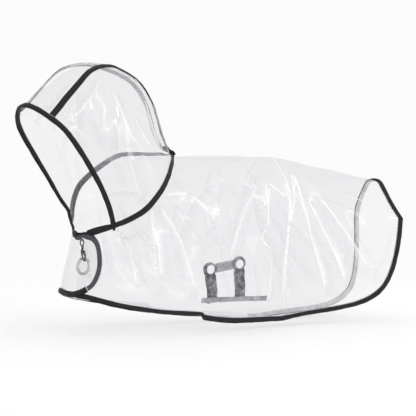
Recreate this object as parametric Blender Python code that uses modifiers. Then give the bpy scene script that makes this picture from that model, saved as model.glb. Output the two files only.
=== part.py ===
"""Clear hooded raincoat for a small dog, filled out as if it were worn.

Metres, +Z up. The dog faces -X and its left flank is at -Y.
The origin is the point of the dog's back that holds the coat up: the inner face of the film at mid back.
All the tables are in millimetres, for a coat that looks straight ahead; pose() then turns the hood and chest.
"""

import math

import bmesh
import bpy
import numpy as np
from mathutils import Matrix, Vector
from mathutils.bvhtree import BVHTree

MM = 0.001

# Driving sizes, in millimetres.
FILM = 1.0  # wall of a film panel
TAPE = 0.8  # wall of a binding or strap tape
GAP = 0.35  # clearance between a tape and the film that it lies on
SEAM = 0.8  # how far a film panel stops short of its seam line
BOUND = 6.8  # reach of a hem binding in from the film's edge
FACE_BOUND = 5.8  # the same at the face opening
NECK_TAPE = 9.6  # width of the tape over the neck seam
CROWN_TAPE = 7.4  # width of the tape over a crown seam
FLAP_LIFT = 4.8  # how far the chest flap lies outside the left front
FLAP_TAPE = 7.5  # width of the tape inside the flap's end
FLAP_TAPE_ENDS = 17.4  # station of the flap's border where that tape gives way to the hem binding

# How the hood and chest turn towards the left flank, about an upright line through the nape.
NAPE_X = -176.0
TURN = math.radians(8.0)
LEAN = math.radians(5.0)
TURN_FROM_X = -90.0
LEAN_FROM_Z = -240.0
LEAN_TO_Z = -110.0

# Neck seam, from the nape to the throat. Columns: half width, x, z.
NECK = (
    (0, -176, 0),
    (25, -193, -2),
    (45, -208, -3),
    (64, -223, -6.5),
    (81, -241, -23),
    (90, -257.5, -40.4),
    (91, -269.5, -54),
    (85, -279.5, -68),
    (70, -292, -81.5),
    (49, -306, -93),
    (31, -317, -101),
    (12, -323.5, -109),
    (0, -325, -111.5),
)

# Hem, from the tail to the chest, in runs that meet at corners. Columns: half width, x, z.
HEM_TAIL = (
    (0, 193.6, -34),
    (13.5, 194.5, -36.7),
    (26, 194.5, -50),
    (39, 195.5, -67),
    (50, 199, -83),
    (56.5, 203, -94),
)
HEM_REAR = (
    (56.5, 203, -94),
    (54, 201.5, -124),
    (50, 197.5, -155),
    (46, 190, -182),
    (42, 176, -204),
    (39, 150, -219.5),
    (38, 113, -227.5),
    (40, 75.7, -231.5),
    (43, 29.1, -234.8),
    (47, -12.4, -240),
)
HEM_BELLY = (
    (47, -12.4, -240),
    (53, -64, -239.5),
    (59, -111, -238),
    (62, -150.5, -233.5),
    (63, -163.4, -231),
)
HEM_FRONT = (
    (63, -167, -225),
    (66, -205, -222),
    (66.5, -242, -217.5),
    (65, -290, -210),
    (60, -312, -205),
    (51, -326, -200.5),
    (36, -336.5, -196.5),
    (18, -341.5, -194.5),
    (0, -343, -194),
)
RUN_COLUMNS = {"tail": 6, "rear": 17, "belly": 6, "front": 10}  # panel columns in each run
CROWDING = 1.3  # how the front run's columns crowd towards the middle of the chest; 1 is evenly

# How far from the hem a panel column turns square to it. Columns: panel column counted from the tail, distance.
SWEEP = ((0, 0), (14, 0), (20, 40), (25, 60), (31, 60), (39, 0))

# Cross-sections of the filled-out body. Columns: x, top, half width, level of that width, depth below it, and
# how square the upper half is (2 is an ellipse).
SECTIONS = (
    (-300, 0.0, 91, -95, 165, 4.0),
    (-223, 1.0, 93, -98, 172, 4.0),
    (-163, 1.5, 90, -98, 181, 3.0),
    (-90, 1.0, 83, -99, 180, 2.5),
    (0, 0.0, 76, -100, 172, 2.1),
    (75, -13.5, 69, -100, 156, 1.9),
    (150, -27.0, 62, -99, 147, 1.6),
    (200, -36.0, 57, -98, 130, 1.4),
)
BELLY_SQUARE = 2.0
# Plan of the chest in front of CHEST_X. Columns: z, reach forward of CHEST_X, how square the plan is.
CHEST_X = -262.0
CHEST = ((-190, 81, 2.1), (-150, 71, 1.6), (-111, 63, 1.35), (-82, 45, 1.3), (-60, 42, 1.3))
CHEST_BLEND = 20.0

# Largest folds of the left flank and, a little moved, of the right. Columns: start x, start z, end x, end z,
# height, half breadth.
FOLDS = (
    (4, -20, -34, -150, 3.0, 16),
    (30, -30, 40, -150, -3.0, 15),
    (34, -30, 108, -180, 3.5, 17),
    (96, -60, 168, -170, 2.5, 17),
    (-36, -50, -92, -110, -2.5, 16),
    (-232, -70, -178, -180, 3.0, 17),
    (-206, -50, -134, -118, 3.0, 16),
    (-196, -96, -150, -150, -2.0, 15),
)
FOLD_SLIP = 14.0  # how far back the right flank's folds lie from the left's
# How much lower the right hem hangs than the left. Columns: x, drop.
RIGHT_DROP = ((-300, -5.0), (-200, -3.0), (-60, 0.0), (0, 6.5), (200, 6.5))

# Edge of the hood's face opening, from just above the neck seam to the brim corner. Columns: half width, x, z.
FACE = (
    (56, -315.5, -79),
    (61.5, -328.5, -58),
    (64, -342.5, -37),
    (65, -358, -16.5),
    (64.5, -374.5, 5),
    (62, -390, 24.3),
    (54, -402.5, 40.5),
    (42, -410, 48.5),
)
# Crown seam, from the brim corner to the nape. Columns: half width, x, z, rise of the crown panel between its seams.
CROWN = (
    (42, -410, 48.5, 20),
    (39, -395.8, 61.5, 19),
    (38, -382, 77, 17.5),
    (38, -370.5, 89.5, 15),
    (37.5, -358, 103, 12),
    (36, -349.4, 111.3, 9),
    (33.5, -337.5, 117.8, 7),
    (30, -324, 121.7, 5),
    (27, -311, 123, 4),
    (23, -297, 122, 3.5),
    (19.5, -284, 118.5, 3),
    (15, -266.6, 113.2, 2),
    (11, -247, 104, 1.5),
    (9, -235.4, 94.8, 1.2),
    (8.5, -225.6, 83, 1),
    (8.5, -215.5, 66.5, 1),
    (9, -207.5, 48, 1),
    (9, -202, 33, 1),
    (8.5, -193.5, 19, 1),
    (6, -184, 6, 1),
)
# Rounded end of the chest flap over the left front. Columns: reach past the middle of the chest, hundredths of the
# way down from the neck seam to the hem.
FLAP_END = (
    (8, 0),
    (19.5, 1.5),
    (31, 7),
    (39.5, 18),
    (45, 32),
    (47.5, 47),
    (47, 61),
    (43, 75),
    (33.5, 87.5),
    (20, 96.5),
    (9, 100),
)
HOOD_NECK_COLUMNS = 32  # neck columns, counted from the nape, that the hood is sewn to
HOOD_BULGE = 6.0  # how far the hood's side swells at the face, turning to a hollow at the nape
HOOD_ROWS = 9
CROWN_ROWS = 5
CAPE_ROWS = 12
FLAP_COLUMNS = 6

# Belly strap on the inner face of the left flank, folded up. Each place is x, z on the flank.
BASE_FROM = (-173.0, -203.0)
BASE_TO = (-50.0, -206.0)
BASE_WIDTH = 7.5
TAB_WIDTH = 17.0
TAB_HEAD = 22.0
FRONT_TAB = ((-151.0, -208.0), (-159.0, -156.5))
REAR_TAB = ((-98.0, -206.0), (-106.5, -153.5))
LINK_FROM = (-164.0, -157.0)
LINK_TO = (-101.0, -153.0)
LINK_WIDTH = 13.5
SNAP_DIAMETER = 12.8
SNAP_HEIGHT = 1.8
SNAP_GAP = 0.9  # clearance between a flat snap and the rounded flank

# Tab of folded tape over the nape, where the crown ends at the neck seam. Columns: x, z.
NAPE_TAB = (
    (-187.2, 15.4),
    (-183.6, 11.0),
    (-179.8, 7.6),
    (-175.6, 6.2),
    (-171.6, 5.2),
    (-169.0, 3.2),
    (-167.4, 1.4),
)
NAPE_TAB_WIDTH = 9.4

# Clasp and ring in front of the chest flap. The first three are points of the worn coat: x, y, z.
EYE_TOP = (-330.0, -26.5, -115.7)
RING_TOP = (-332.0, -38.0, -141.0)
RING_LOW = (-334.5, -39.0, -161.8)
RING_FACES = (-0.92, -0.335, 0.15)
RING_RADIUS = 10.6
RING_WIRE = 2.8
HOOK_TURN = math.radians(75)  # between the eye's plane and the hook's
HOOK_REACH = 4.2
HOOK_WIRE = 1.8
HOOK_SLACK = 0.9  # how far the ring hangs below the middle of the hook's bend
EYE_HEIGHT = 8.8
EYE_WIDTH = 6.4
EYE_WIRE = 1.4
BARREL_FROM = 8.4
BARREL_TO = 12.8
BARREL_DIAMETER = 3.6
LOOP_RADIUS = 1.9
LOOP_WIRE = 0.9
LOOP_SET = 0.3  # how far the loop's middle lies behind the eye's wire

FILM_COLOUR = (0.90, 0.91, 0.92)
BLACK = (0.018, 0.018, 0.020)
WHITE = (0.86, 0.86, 0.84)
DARK_METAL = (0.10, 0.10, 0.11)
BRIGHT_METAL = (0.62, 0.62, 0.62)


def clear_scene():
    for item in list(bpy.data.objects):
        bpy.data.objects.remove(item, do_unlink=True)


def collection(name):
    made = bpy.data.collections.new(name)
    bpy.context.scene.collection.children.link(made)
    return made


def material(name, colour, roughness, metallic=0.0, alpha=1.0):
    made = bpy.data.materials.new(name)
    made.use_nodes = True
    shader = made.node_tree.nodes["Principled BSDF"]
    shader.inputs["Base Color"].default_value = (*colour, 1.0)
    shader.inputs["Roughness"].default_value = roughness
    shader.inputs["Metallic"].default_value = metallic
    shader.inputs["Alpha"].default_value = alpha
    return made


def ease(share):
    share = np.clip(share, 0.0, 1.0)
    return share * share * (3.0 - 2.0 * share)


def pose(points):
    """Takes straight-ahead (half width or y, x, z) points with a signed first column to metres in the worn pose."""
    y, x, z = np.moveaxis(np.asarray(points, float), -1, 0)
    drop = np.interp(x, *np.array(RIGHT_DROP).T)
    z = z - drop * ease(y / 45) * ease(-z / 200)
    share = ease((TURN_FROM_X - x) / (TURN_FROM_X - NAPE_X))
    lean = LEAN * share * ease((z - LEAN_FROM_Z) / (LEAN_TO_Z - LEAN_FROM_Z))
    turn = TURN * share
    across = y * np.cos(lean) - z * np.sin(lean)
    up = y * np.sin(lean) + z * np.cos(lean)
    ahead = x - NAPE_X
    placed = (
        NAPE_X + ahead * np.cos(turn) - across * np.sin(turn),
        ahead * np.sin(turn) + across * np.cos(turn),
        up + FILM / 2,
    )
    return np.stack(placed, -1)


def unit(vectors):
    size = np.linalg.norm(vectors, axis=-1, keepdims=True)
    return vectors / np.maximum(size, 1e-9)


def lengths(line):
    steps = np.linalg.norm(np.diff(line[:, :3], axis=0), axis=1)
    return np.concatenate(((0.0,), np.cumsum(steps)))


def at_lengths(line, distances):
    run = lengths(line)
    return np.stack([np.interp(distances, run, line[:, i]) for i in range(line.shape[1])], -1)


def at_shares(line, shares):
    return at_lengths(line, np.asarray(shares) * lengths(line)[-1])


def smooth_curve(rows, mirrored=(False, False), per_row=16):
    """A smooth line through the rows. At a mirrored end it crosses the middle plane squarely."""
    points = np.array(rows, float)
    flip = np.ones(points.shape[1])
    flip[0] = -1.0
    before = points[1] * flip if mirrored[0] else 2 * points[0] - points[1]
    after = points[-2] * flip if mirrored[1] else 2 * points[-1] - points[-2]
    padded = np.vstack((before, points, after))
    knots = lengths(padded)
    slopes = (padded[2:] - padded[:-2]) / (knots[2:] - knots[:-2])[:, None]
    line = [points[:1]]
    for i in range(len(points) - 1):
        step = knots[i + 2] - knots[i + 1]
        t = np.linspace(0, 1, per_row + 1)[1:, None]
        line.append(
            points[i] * (2 * t**3 - 3 * t**2 + 1)
            + slopes[i] * step * (t**3 - 2 * t**2 + t)
            + points[i + 1] * (3 * t**2 - 2 * t**3)
            + slopes[i + 1] * step * (t**3 - t**2)
        )
    return np.vstack(line)


def on_body(points):
    """Moves (half width, x, z) points out or in to the filled-out body."""
    width, x, z = points.T
    width = np.maximum(width, 0.0)
    table = np.array(SECTIONS).T
    top, wide, level, drop, square = (np.interp(x, table[0], column) for column in table[1:])
    rise = z - level
    tall = np.where(rise > 0, top - level, drop)
    power = np.where(rise > 0, square, BELLY_SQUARE)
    height = (np.abs(rise) / tall) ** power
    out = ((width / wide) ** power + height) ** (-1 / power)
    girth = np.stack((width * out, x, level + rise * out), -1)
    chest = np.array(CHEST, float).T
    reach, square_here = (np.interp(z, chest[0], column) for column in chest[1:])
    wide_here = wide * np.clip(1 - height, 0.02, 1) ** (1 / power)
    ahead = np.maximum(CHEST_X - x, 0.0)
    plan = (width / wide_here) ** square_here + (ahead / reach) ** square_here
    push = np.maximum(plan, 1e-6) ** (-1 / square_here)
    chest = np.stack((width * push, CHEST_X - ahead * push, z), -1)
    mix = ease((CHEST_X + CHEST_BLEND - x) / (2 * CHEST_BLEND))[:, None]
    return girth * (1 - mix) + chest * mix


def row_distances(length, first, second, last, count):
    """Distances along a panel's column: the seam edge, under the tape, evenly over the middle, and the far edge."""
    second = min(second, 0.3 * length)
    last = min(last, 0.25 * length)
    middle = np.linspace(second, length - last, count)
    return np.concatenate(((min(first, 0.3 * second),), middle, (length,)))


def hem_samples():
    """Hem points of one half with the direction of the hem at each, from the tail to the chest."""
    points, directions = [], []
    for rows, count, ends, first in (
        (HEM_TAIL, RUN_COLUMNS["tail"], (True, False), 0),
        (HEM_REAR, RUN_COLUMNS["rear"], (False, False), 1),
        (HEM_BELLY, RUN_COLUMNS["belly"], (False, False), 1),
        (HEM_FRONT, RUN_COLUMNS["front"], (False, True), 0),
    ):
        curve = smooth_curve(rows, ends)
        shares = np.arange(first, count + 1) / count
        if rows is HEM_FRONT:
            shares = 1 - (1 - shares) ** CROWDING
        ahead = unit(at_shares(curve, shares + 0.02) - at_shares(curve, shares - 0.02))
        points.extend(at_shares(curve, shares))
        directions.extend(ahead)
    corner = RUN_COLUMNS["tail"]
    directions[corner] = unit(directions[corner - 1] + directions[corner + 1])
    return np.array(points), np.array(directions)


def half_cape(neck):
    """Columns of one half of the cape, from the middle of the back to the middle of the chest."""
    hem, ahead = hem_samples()
    necks = at_shares(neck, np.linspace(0, 1, len(hem)))
    columns = []
    sweeps = np.interp(np.arange(len(hem)), *np.array(SWEEP, float).T)
    for top, bottom, direction, sweep in zip(necks, hem, ahead, sweeps):
        share = np.linspace(0, 1, 81)[:, None]
        up = unit((top - bottom) - direction * np.dot(top - bottom, direction))
        control = bottom + up * sweep if sweep else (top + bottom) / 2
        bent = top * (1 - share) ** 2 + control * 2 * share * (1 - share) + bottom * share**2
        swell = ease(share / 0.15) * ease((1 - share) / 0.12)
        line = bent + (on_body(bent) - bent) * swell
        slant = np.dot(unit(line[-1] - line[-5]), direction)
        bound = BOUND / max(math.sqrt(1 - slant * slant), 0.4)
        run = lengths(line)[-1]
        columns.append(at_lengths(line, row_distances(run, SEAM, NECK_TAPE / 2, bound, CAPE_ROWS)))
    return np.array(columns), necks


def normals_of(grid):
    """Unit normals of a grid of points, by the cross product of its two directions."""
    across = np.gradient(grid, axis=0)
    along = np.gradient(grid, axis=1)
    normal = np.cross(across, along)
    size = np.linalg.norm(normal, axis=-1, keepdims=True)
    return normal / np.maximum(size, 1e-9)


def fold_heights(side, points):
    """Height of the largest folds at (signed half width, x, z) points on one side."""
    slip = FOLD_SLIP if side > 0 else 0.0
    total = np.zeros(points.shape[:-1])
    place = points[..., 1:]
    for x0, z0, x1, z1, height, breadth in FOLDS:
        start = np.array((x0 + slip, z0))
        run = np.array((x1 - x0, z1 - z0))
        share = ((place - start) @ run) / (run @ run)
        nearest = start + np.clip(share, 0, 1)[..., None] * run
        off = np.linalg.norm(place - nearest, axis=-1)
        fade = ease(share / 0.25 + 0.2) * ease((1 - share) / 0.35 + 0.2)
        total += height * fade * np.exp(-((off / breadth) ** 2)) * (points[..., 0] * side > 0)
    return total


def cape_grid(half):
    """The whole cape as a grid: left front, back, right front and the chest flap over the left front."""
    signs = np.array((-1.0, 1.0, 1.0))
    last = len(half) - 1
    full = np.concatenate((half[::-1] * signs, half[1:]))
    out = normals_of(full[..., [1, 0, 2]])[..., [1, 0, 2]]
    if out[last // 2, CAPE_ROWS // 2, 0] > 0:
        out = -out
    away_from_edge = np.ones(full.shape[1])
    away_from_edge[[0, 1, -2, -1]] = 0.0
    for side in (-1, 1):
        full += out * (fold_heights(side, full) * away_from_edge)[..., None]
    lift = FLAP_LIFT * ease((np.arange(len(full)) - 2 * last + 4) / 4.0)
    lifted = full + out * lift[:, None, None]
    border = smooth_curve([(reach, down, 0) for reach, down in FLAP_END])
    end = at_shares(border, np.linspace(0, 1, full.shape[1]))
    downs = [lengths(column) / lengths(column)[-1] for column in full[:8]]
    flap = []
    for j in range(1, FLAP_COLUMNS + 1):
        share = j / FLAP_COLUMNS
        places = downs[0] * (1 - share) + end[:, 1] / 100 * share
        flap.append([across(full, out, downs, down, reach * share) for down, reach in zip(places, end[:, 0])])
    return np.concatenate((lifted[1:], np.array(flap)))


def across(grid, out, downs, down, reach):
    """A point of the flap: a share of the way down the left front and a reach from its middle line."""
    both = np.concatenate((grid, out), -1)
    line = [[np.interp(down, share, column[:, axis]) for axis in range(6)] for share, column in zip(downs, both)]
    whole = at_lengths(np.array(line), [reach])[0]
    return whole[:3] + unit(whole[3:]) * FLAP_LIFT


def add_object(name, mesh, group, skin, thickness=0.0):
    made = bpy.data.objects.new(name, mesh)
    group.objects.link(made)
    mesh.materials.append(skin)
    mesh.shade_smooth()
    mesh.set_sharp_from_angle(angle=math.radians(40))
    if thickness:
        wall = made.modifiers.new("wall", "SOLIDIFY")
        wall.thickness = thickness * MM
        wall.offset = 0.0
    return made


def sheet_mesh(name, grid):
    """A triangle mesh through a grid of points in millimetres, each cell split along its shorter diagonal."""
    rows, columns = grid.shape[:2]
    faces = []
    for i in range(rows - 1):
        for j in range(columns - 1):
            a = i * columns + j
            b = a + columns
            forward = np.linalg.norm(grid[i + 1, j + 1] - grid[i, j])
            backward = np.linalg.norm(grid[i + 1, j] - grid[i, j + 1])
            if forward <= backward:
                faces.extend(((a, b, b + 1), (a, b + 1, a + 1)))
            else:
                faces.extend(((a, b, a + 1), (b, b + 1, a + 1)))
    mesh = bpy.data.meshes.new(name)
    mesh.from_pydata((grid.reshape(-1, 3) * MM).tolist(), [], faces)
    mesh.update()
    return mesh


def sheet(name, grid, thickness, group, skin):
    return add_object(name, sheet_mesh(name, grid), group, skin, thickness)


def stretch(lines, start, stop):
    """Cuts a set of lines, one column each, between two fractional stations."""
    inner = np.arange(math.ceil(start + 0.2), math.floor(stop - 0.2) + 1)
    wanted = np.concatenate(((start,), inner, (stop,)))
    stations = np.arange(len(lines))
    flat = lines.reshape(len(lines), -1)
    cut = np.stack([np.interp(wanted, stations, flat[:, i]) for i in range(flat.shape[1])], -1)
    return cut.reshape(len(wanted), *lines.shape[1:])


def shortened(lines, amount=0.2):
    """Pulls both ends of a tape in by a small amount, so that two tapes meet with a gap."""
    lines = lines.copy()
    lines[0] += unit(lines[1] - lines[0]) * amount
    lines[-1] += unit(lines[-2] - lines[-1]) * amount
    return lines


LAID = FILM / 2 + GAP + TAPE / 2


def fold_over_edge(edge, inner, edge_out, inner_out):
    """Grid of a tape folded over a film's edge, from its outer leg round the edge to its inner leg."""
    middle = len(edge) // 2
    ahead = edge[middle + 1] - edge[middle]
    handed = 1.0 if np.dot(np.cross(edge_out[middle], ahead), edge[middle] - inner[middle]) > 0 else -1.0
    beyond = beside(edge, edge_out * handed, GAP + TAPE / 2)
    rows = (
        inner + inner_out * LAID,
        edge + edge_out * LAID,
        beyond + edge_out * LAID * 0.5,
        beyond - edge_out * LAID * 0.5,
        edge - edge_out * LAID,
        inner - inner_out * LAID,
    )
    return np.stack(rows, 1)


def over_seam(one, seam, two, one_out, two_out):
    """Grid of a tape laid over a seam, from the panel on one side to the panel on the other."""
    middle = unit(one_out + two_out)
    square = np.maximum(np.sum(middle * one_out, -1, keepdims=True), 0.6)
    return np.stack((one + one_out * LAID, seam + middle * LAID / square, two + two_out * LAID), 1)


def hood_side(crown, necks):
    """Grid of a hood side: columns from the face edge to the nape, rows from the neck seam to the crown seam."""
    bottom = necks[HOOD_NECK_COLUMNS:0:-1]
    count = len(bottom)
    shares = np.linspace(0, 1, count)
    top = at_shares(crown, shares)[:, :3]
    face = smooth_curve(np.vstack((bottom[0], np.array(FACE, float))))
    rows = np.linspace(0, 1, 33)
    front = at_shares(face, rows)
    back = bottom[-1] + (top[-1] - bottom[-1]) * rows[:, None]
    s = shares[:, None, None]
    r = rows[None, :, None]
    ruled = bottom[:, None] * (1 - r) + top[:, None] * r
    turned = front[None] * (1 - s) + back[None] * s
    below = bottom[0] * (1 - s) + bottom[-1] * s
    above = top[0] * (1 - s) + top[-1] * s
    patch = ruled + turned - below * (1 - r) - above * r
    out = -normals_of(patch[..., [1, 0, 2]])[..., [1, 0, 2]]
    if out[count // 2, 16, 0] < 0:
        out = -out
    patch = patch + out * HOOD_BULGE * (1 - 1.7 * s) * np.sin(np.pi * s) ** 0.8 * np.sin(np.pi * r)
    columns = []
    for line in patch:
        run = lengths(line)[-1]
        wanted = row_distances(run, SEAM, NECK_TAPE / 2, CROWN_TAPE / 2, HOOD_ROWS)
        wanted[-1] = run - min(SEAM, 0.1 * run)
        columns.append(at_lengths(line, wanted))
    return np.array(columns), top


def crown_grid(stations):
    """Grid of the crown panel: along it from brim to nape, across it from the left seam to the right."""
    width, x, z, rise = stations.T
    along = np.gradient(stations[:, 1:3], axis=0)
    up = unit(np.stack((-along[:, 1], along[:, 0]), -1))
    rows = []
    for i in range(len(stations)):
        tape = min(CROWN_TAPE / 2, 0.45 * width[i])
        inner = np.linspace(width[i] - tape, -(width[i] - tape), CROWN_ROWS)
        places = np.concatenate(((width[i] - SEAM,), inner, (SEAM - width[i],)))
        lift = rise[i] * (1 - (places / width[i]) ** 2)
        rows.append(np.stack((-places, x[i] + up[i, 0] * lift, z[i] + up[i, 1] * lift), -1))
    return np.array(rows)


def outward(grid, centre):
    """Unit normals of a posed grid that point away from a centre."""
    out = normals_of(grid)
    middle = grid.shape[0] // 2, grid.shape[1] // 2
    if np.dot(out[middle], grid[middle] - centre) < 0:
        out = -out
    return out


def reach_in(grid, out, distance):
    """Points at a distance from a grid's first column along each of its rows, and the normals there."""
    points = [at_lengths(grid[:6, row], [distance])[0] for row in range(grid.shape[1])]
    return np.array(points), out[1]


def tree_of(grid):
    """A search tree over the middle surface of a panel."""
    mesh = sheet_mesh("search", grid)
    places = [v.co.copy() for v in mesh.vertices]
    tree = BVHTree.FromPolygons(places, [tuple(p.vertices) for p in mesh.polygons])
    bpy.data.meshes.remove(mesh)
    return tree


def laid(tree, points, out):
    """Nearest points of a panel's middle surface, and its normals there on the side of out."""
    places, normals = [], []
    for point, side in zip(points, out):
        hit, normal, _, _ = tree.find_nearest(Vector(point) * MM)
        normal = np.array(normal)
        places.append(np.array(hit) / MM)
        normals.append(normal if np.dot(normal, side) > 0 else -normal)
    return np.array(places), np.array(normals)


def beside(line, out, width):
    """Points at a width to the left of a line, seen with out towards the eye, mitred at its bends."""
    ahead = unit(np.diff(line, axis=0))
    before = np.concatenate((ahead[:1], ahead))
    after = np.concatenate((ahead, ahead[-1:]))
    left = unit(np.cross(out, unit(before + after)))
    square = np.sum(left * unit(np.cross(out, after)), -1, keepdims=True)
    return line + left * width / np.maximum(square, 0.6)


def flap_border(cape, cape_out):
    """Border of the flap with its normals: along the neck edge, down the end, then back along the hem."""
    first = len(cape) - FLAP_COLUMNS - 2
    top = cape[first:-1, 0], cape_out[first:-1, 0]
    end = cape[-1], cape_out[-1]
    bottom = cape[-2 : first - 1 : -1, -1], cape_out[-2 : first - 1 : -1, -1]
    line = np.concatenate((top[0], end[0], bottom[0]))
    out = np.concatenate((top[1], end[1], bottom[1]))
    return line, out


def build_bindings(cape, cape_out, sides, top, top_grid, top_out, group, skin):
    """The tapes over the neck and crown seams and the bindings of the hem, the flap and the face opening."""
    neck_line = cape[:, 0] + unit(cape[:, 0] - cape[:, 1]) * SEAM
    nape = (len(cape) - FLAP_COLUMNS) // 2 - 1
    last = len(cape) - FLAP_COLUMNS - 1
    count = HOOD_NECK_COLUMNS
    one, one_out = cape[:, 1], cape_out[:, 1]
    two = neck_line + unit(neck_line - one) * NECK_TAPE / 2
    two_out = one_out.copy()
    for name, sign in (("left", -1), ("right", 1)):
        grid, out = sides[name]
        for column in range(count):
            place = nape + sign * (count - column)
            two[place] = grid[column, 1]
            two_out[place] = out[column, 1]
    two[nape] = (two[nape - 1] + two[nape + 1]) / 2
    two_out[nape] = unit(two_out[nape - 1] + two_out[nape + 1])
    lines = over_seam(one, neck_line, two, one_out, two_out)
    sheet("neck_binding", stretch(lines, 1.0, last - 0.1), TAPE, group, skin)

    edge, inner = cape[:, -1], cape[:, -2]
    lines = fold_over_edge(edge, inner, cape_out[:, -1], cape_out[:, -2])
    belly = nape - RUN_COLUMNS["tail"] - RUN_COLUMNS["rear"]
    front = belly - RUN_COLUMNS["belly"]
    for name, start, stop in (
        ("hem_binding_front_left", 0, front - 1),
        ("hem_binding_belly_left", front, belly),
        ("hem_binding_rear", belly, 2 * nape - belly),
        ("hem_binding_belly_right", 2 * nape - belly, 2 * nape - front),
    ):
        sheet(name, shortened(stretch(lines, start, stop)), TAPE, group, skin)

    tree = tree_of(cape[last - 3 :])
    line, out = flap_border(cape, cape_out)
    handed = 1.0 if np.dot(np.cross(out[2], line[3] - line[2]), cape[-3, 3] - line[2]) > 0 else -1.0
    inside, inside_out = laid(tree, beside(line, out * handed, FLAP_TAPE), out)
    _, out = laid(tree, line + unit(inside - line) * SEAM, out)
    lift = LAID + GAP
    outer_row = line + unit(inside - line) * SEAM - out * lift
    lines_in = np.stack((outer_row, inside - inside_out * lift), 1)
    sheet("flap_binding", shortened(stretch(lines_in, 0.0, FLAP_TAPE_ENDS)), TAPE, group, skin)
    inside, inside_out = laid(tree, beside(line, out * handed, BOUND), out)
    round_end = fold_over_edge(line, inside, out, inside_out)
    round_end = stretch(round_end, FLAP_TAPE_ENDS, len(line) - 1.0)[::-1]
    front_right = lines[2 * nape - front + 1 : last - 1]
    whole = np.concatenate((front_right, round_end))
    sheet("hem_binding_front_right", shortened(whole), TAPE, group, skin)

    seams = {"left": pose(top * np.array((-1.0, 1.0, 1.0))), "right": pose(top)}
    face_edge, face_inner, face_edge_out, face_inner_out = [], [], [], []
    ends = {}
    for name, first, second in (("left", 0, 1), ("right", -1, -2)):
        grid, out = sides[name]
        across = over_seam(grid[:, -2], seams[name], top_grid[:, second], out[:, -2], top_out[:, second])
        step = np.linalg.norm(seams[name][1] - seams[name][0])
        cut = stretch(across, (FACE_BOUND + 2 * GAP) / step, len(across) - 1.0)
        sheet(f"crown_tape_{name}", cut, TAPE, group, skin)
        inside, inside_out = reach_in(grid, out, FACE_BOUND)
        rows = stretch(np.stack((grid[0], inside, out[0], inside_out), 1), 1.25, len(inside) - 1.0)
        ends[name] = rows[:-1]
    inside, inside_out = reach_in(top_grid, top_out, FACE_BOUND)
    crown_rows = np.stack((top_grid[0], inside, top_out[0], inside_out), 1)
    corner_left = (ends["left"][-1] + crown_rows[0]) / 2
    corner_right = (ends["right"][-1] + crown_rows[-1]) / 2
    runs = ends["left"], corner_left[None], crown_rows[1:-1], corner_right[None], ends["right"][::-1]
    ring = np.concatenate(runs)
    face = fold_over_edge(ring[:, 0], ring[:, 1], unit(ring[:, 2]), unit(ring[:, 3]))
    sheet("face_binding", face, TAPE, group, skin)


def tape_inside(tree, path, widths, lifts):
    """Grid of a flat tape inside the left flank. The path is x, z of the straight coat; lifts are off the film."""
    path = np.array(path, float)
    guess = pose(np.column_stack((np.full(len(path), -80.0), path)))
    start = []
    for point in guess:
        origin = Vector(point + np.array((0.0, 40.0, 0.0))) * MM
        hit, _, _, _ = tree.ray_cast(origin, Vector((0.0, -1.0, 0.0)))
        start.append(np.array(hit) / MM)
    centre, inward = laid(tree, start, np.tile((0.0, 1.0, 0.0), (len(path), 1)))
    ahead = unit(np.gradient(centre, axis=0))
    side = unit(np.cross(ahead, inward))
    columns = []
    for share in (-0.5, 0.0, 0.5):
        points, normals = laid(tree, centre + side * np.array(widths)[:, None] * share, inward)
        columns.append(points + normals * (FILM / 2 + np.array(lifts))[:, None])
    return np.stack(columns, 1)


def along_line(start, end, shares):
    start, end = np.array(start), np.array(end)
    return start + (end - start) * np.array(shares)[:, None]


def build_strap(tree, group, skin, white):
    """The belly strap, folded up and fastened inside the left flank."""
    low = GAP + TAPE / 2
    shares = np.linspace(0, 1, 13)
    path = along_line(BASE_FROM, BASE_TO, shares)
    sheet("strap_base", tape_inside(tree, path, [BASE_WIDTH] * 13, [low] * 13), TAPE, group, skin)
    on_base = low + TAPE + GAP
    high = 2 * SNAP_GAP + SNAP_HEIGHT + TAPE / 2
    for name, (start, end) in (("front", FRONT_TAB), ("rear", REAR_TAB)):
        reach = np.linalg.norm(np.array(end) - np.array(start))
        head = TAB_HEAD / 2
        angles = np.linspace(0.25 * np.pi, 0.94 * np.pi, 8)
        distances = np.concatenate((np.linspace(0, reach - head * 0.9, 5), reach - head * np.cos(angles)))
        widths = np.concatenate(([TAB_WIDTH] * 5, TAB_HEAD * np.sin(angles)))
        lifts = on_base + (high - on_base) * ease((distances - 0.3 * reach) / (0.4 * reach))
        path = along_line(start, end, distances / reach)
        sheet(f"strap_tab_{name}", tape_inside(tree, path, widths, lifts), TAPE, group, skin)
    shares = np.linspace(0, 1, 11)
    path = along_line(LINK_FROM, LINK_TO, shares)
    over = high + TAPE + GAP
    sheet("strap_link", tape_inside(tree, path, [LINK_WIDTH] * 11, [over] * 11), TAPE, group, skin)
    for name, (_, place) in (("front", FRONT_TAB), ("rear", REAR_TAB)):
        line = along_line(np.array(place) - (1, 0), np.array(place) + (1, 0), (0, 0.5, 1))
        around = tape_inside(tree, line, [2] * 3, [0] * 3)
        middle = around[1, 1]
        out = unit(np.cross(around[2, 1] - around[0, 1], around[1, 2] - around[1, 0]))
        out = out if out[1] > 0 else -out
        snap(f"snap_{name}", middle + out * (SNAP_GAP + SNAP_HEIGHT / 2), out, group, white)


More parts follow.
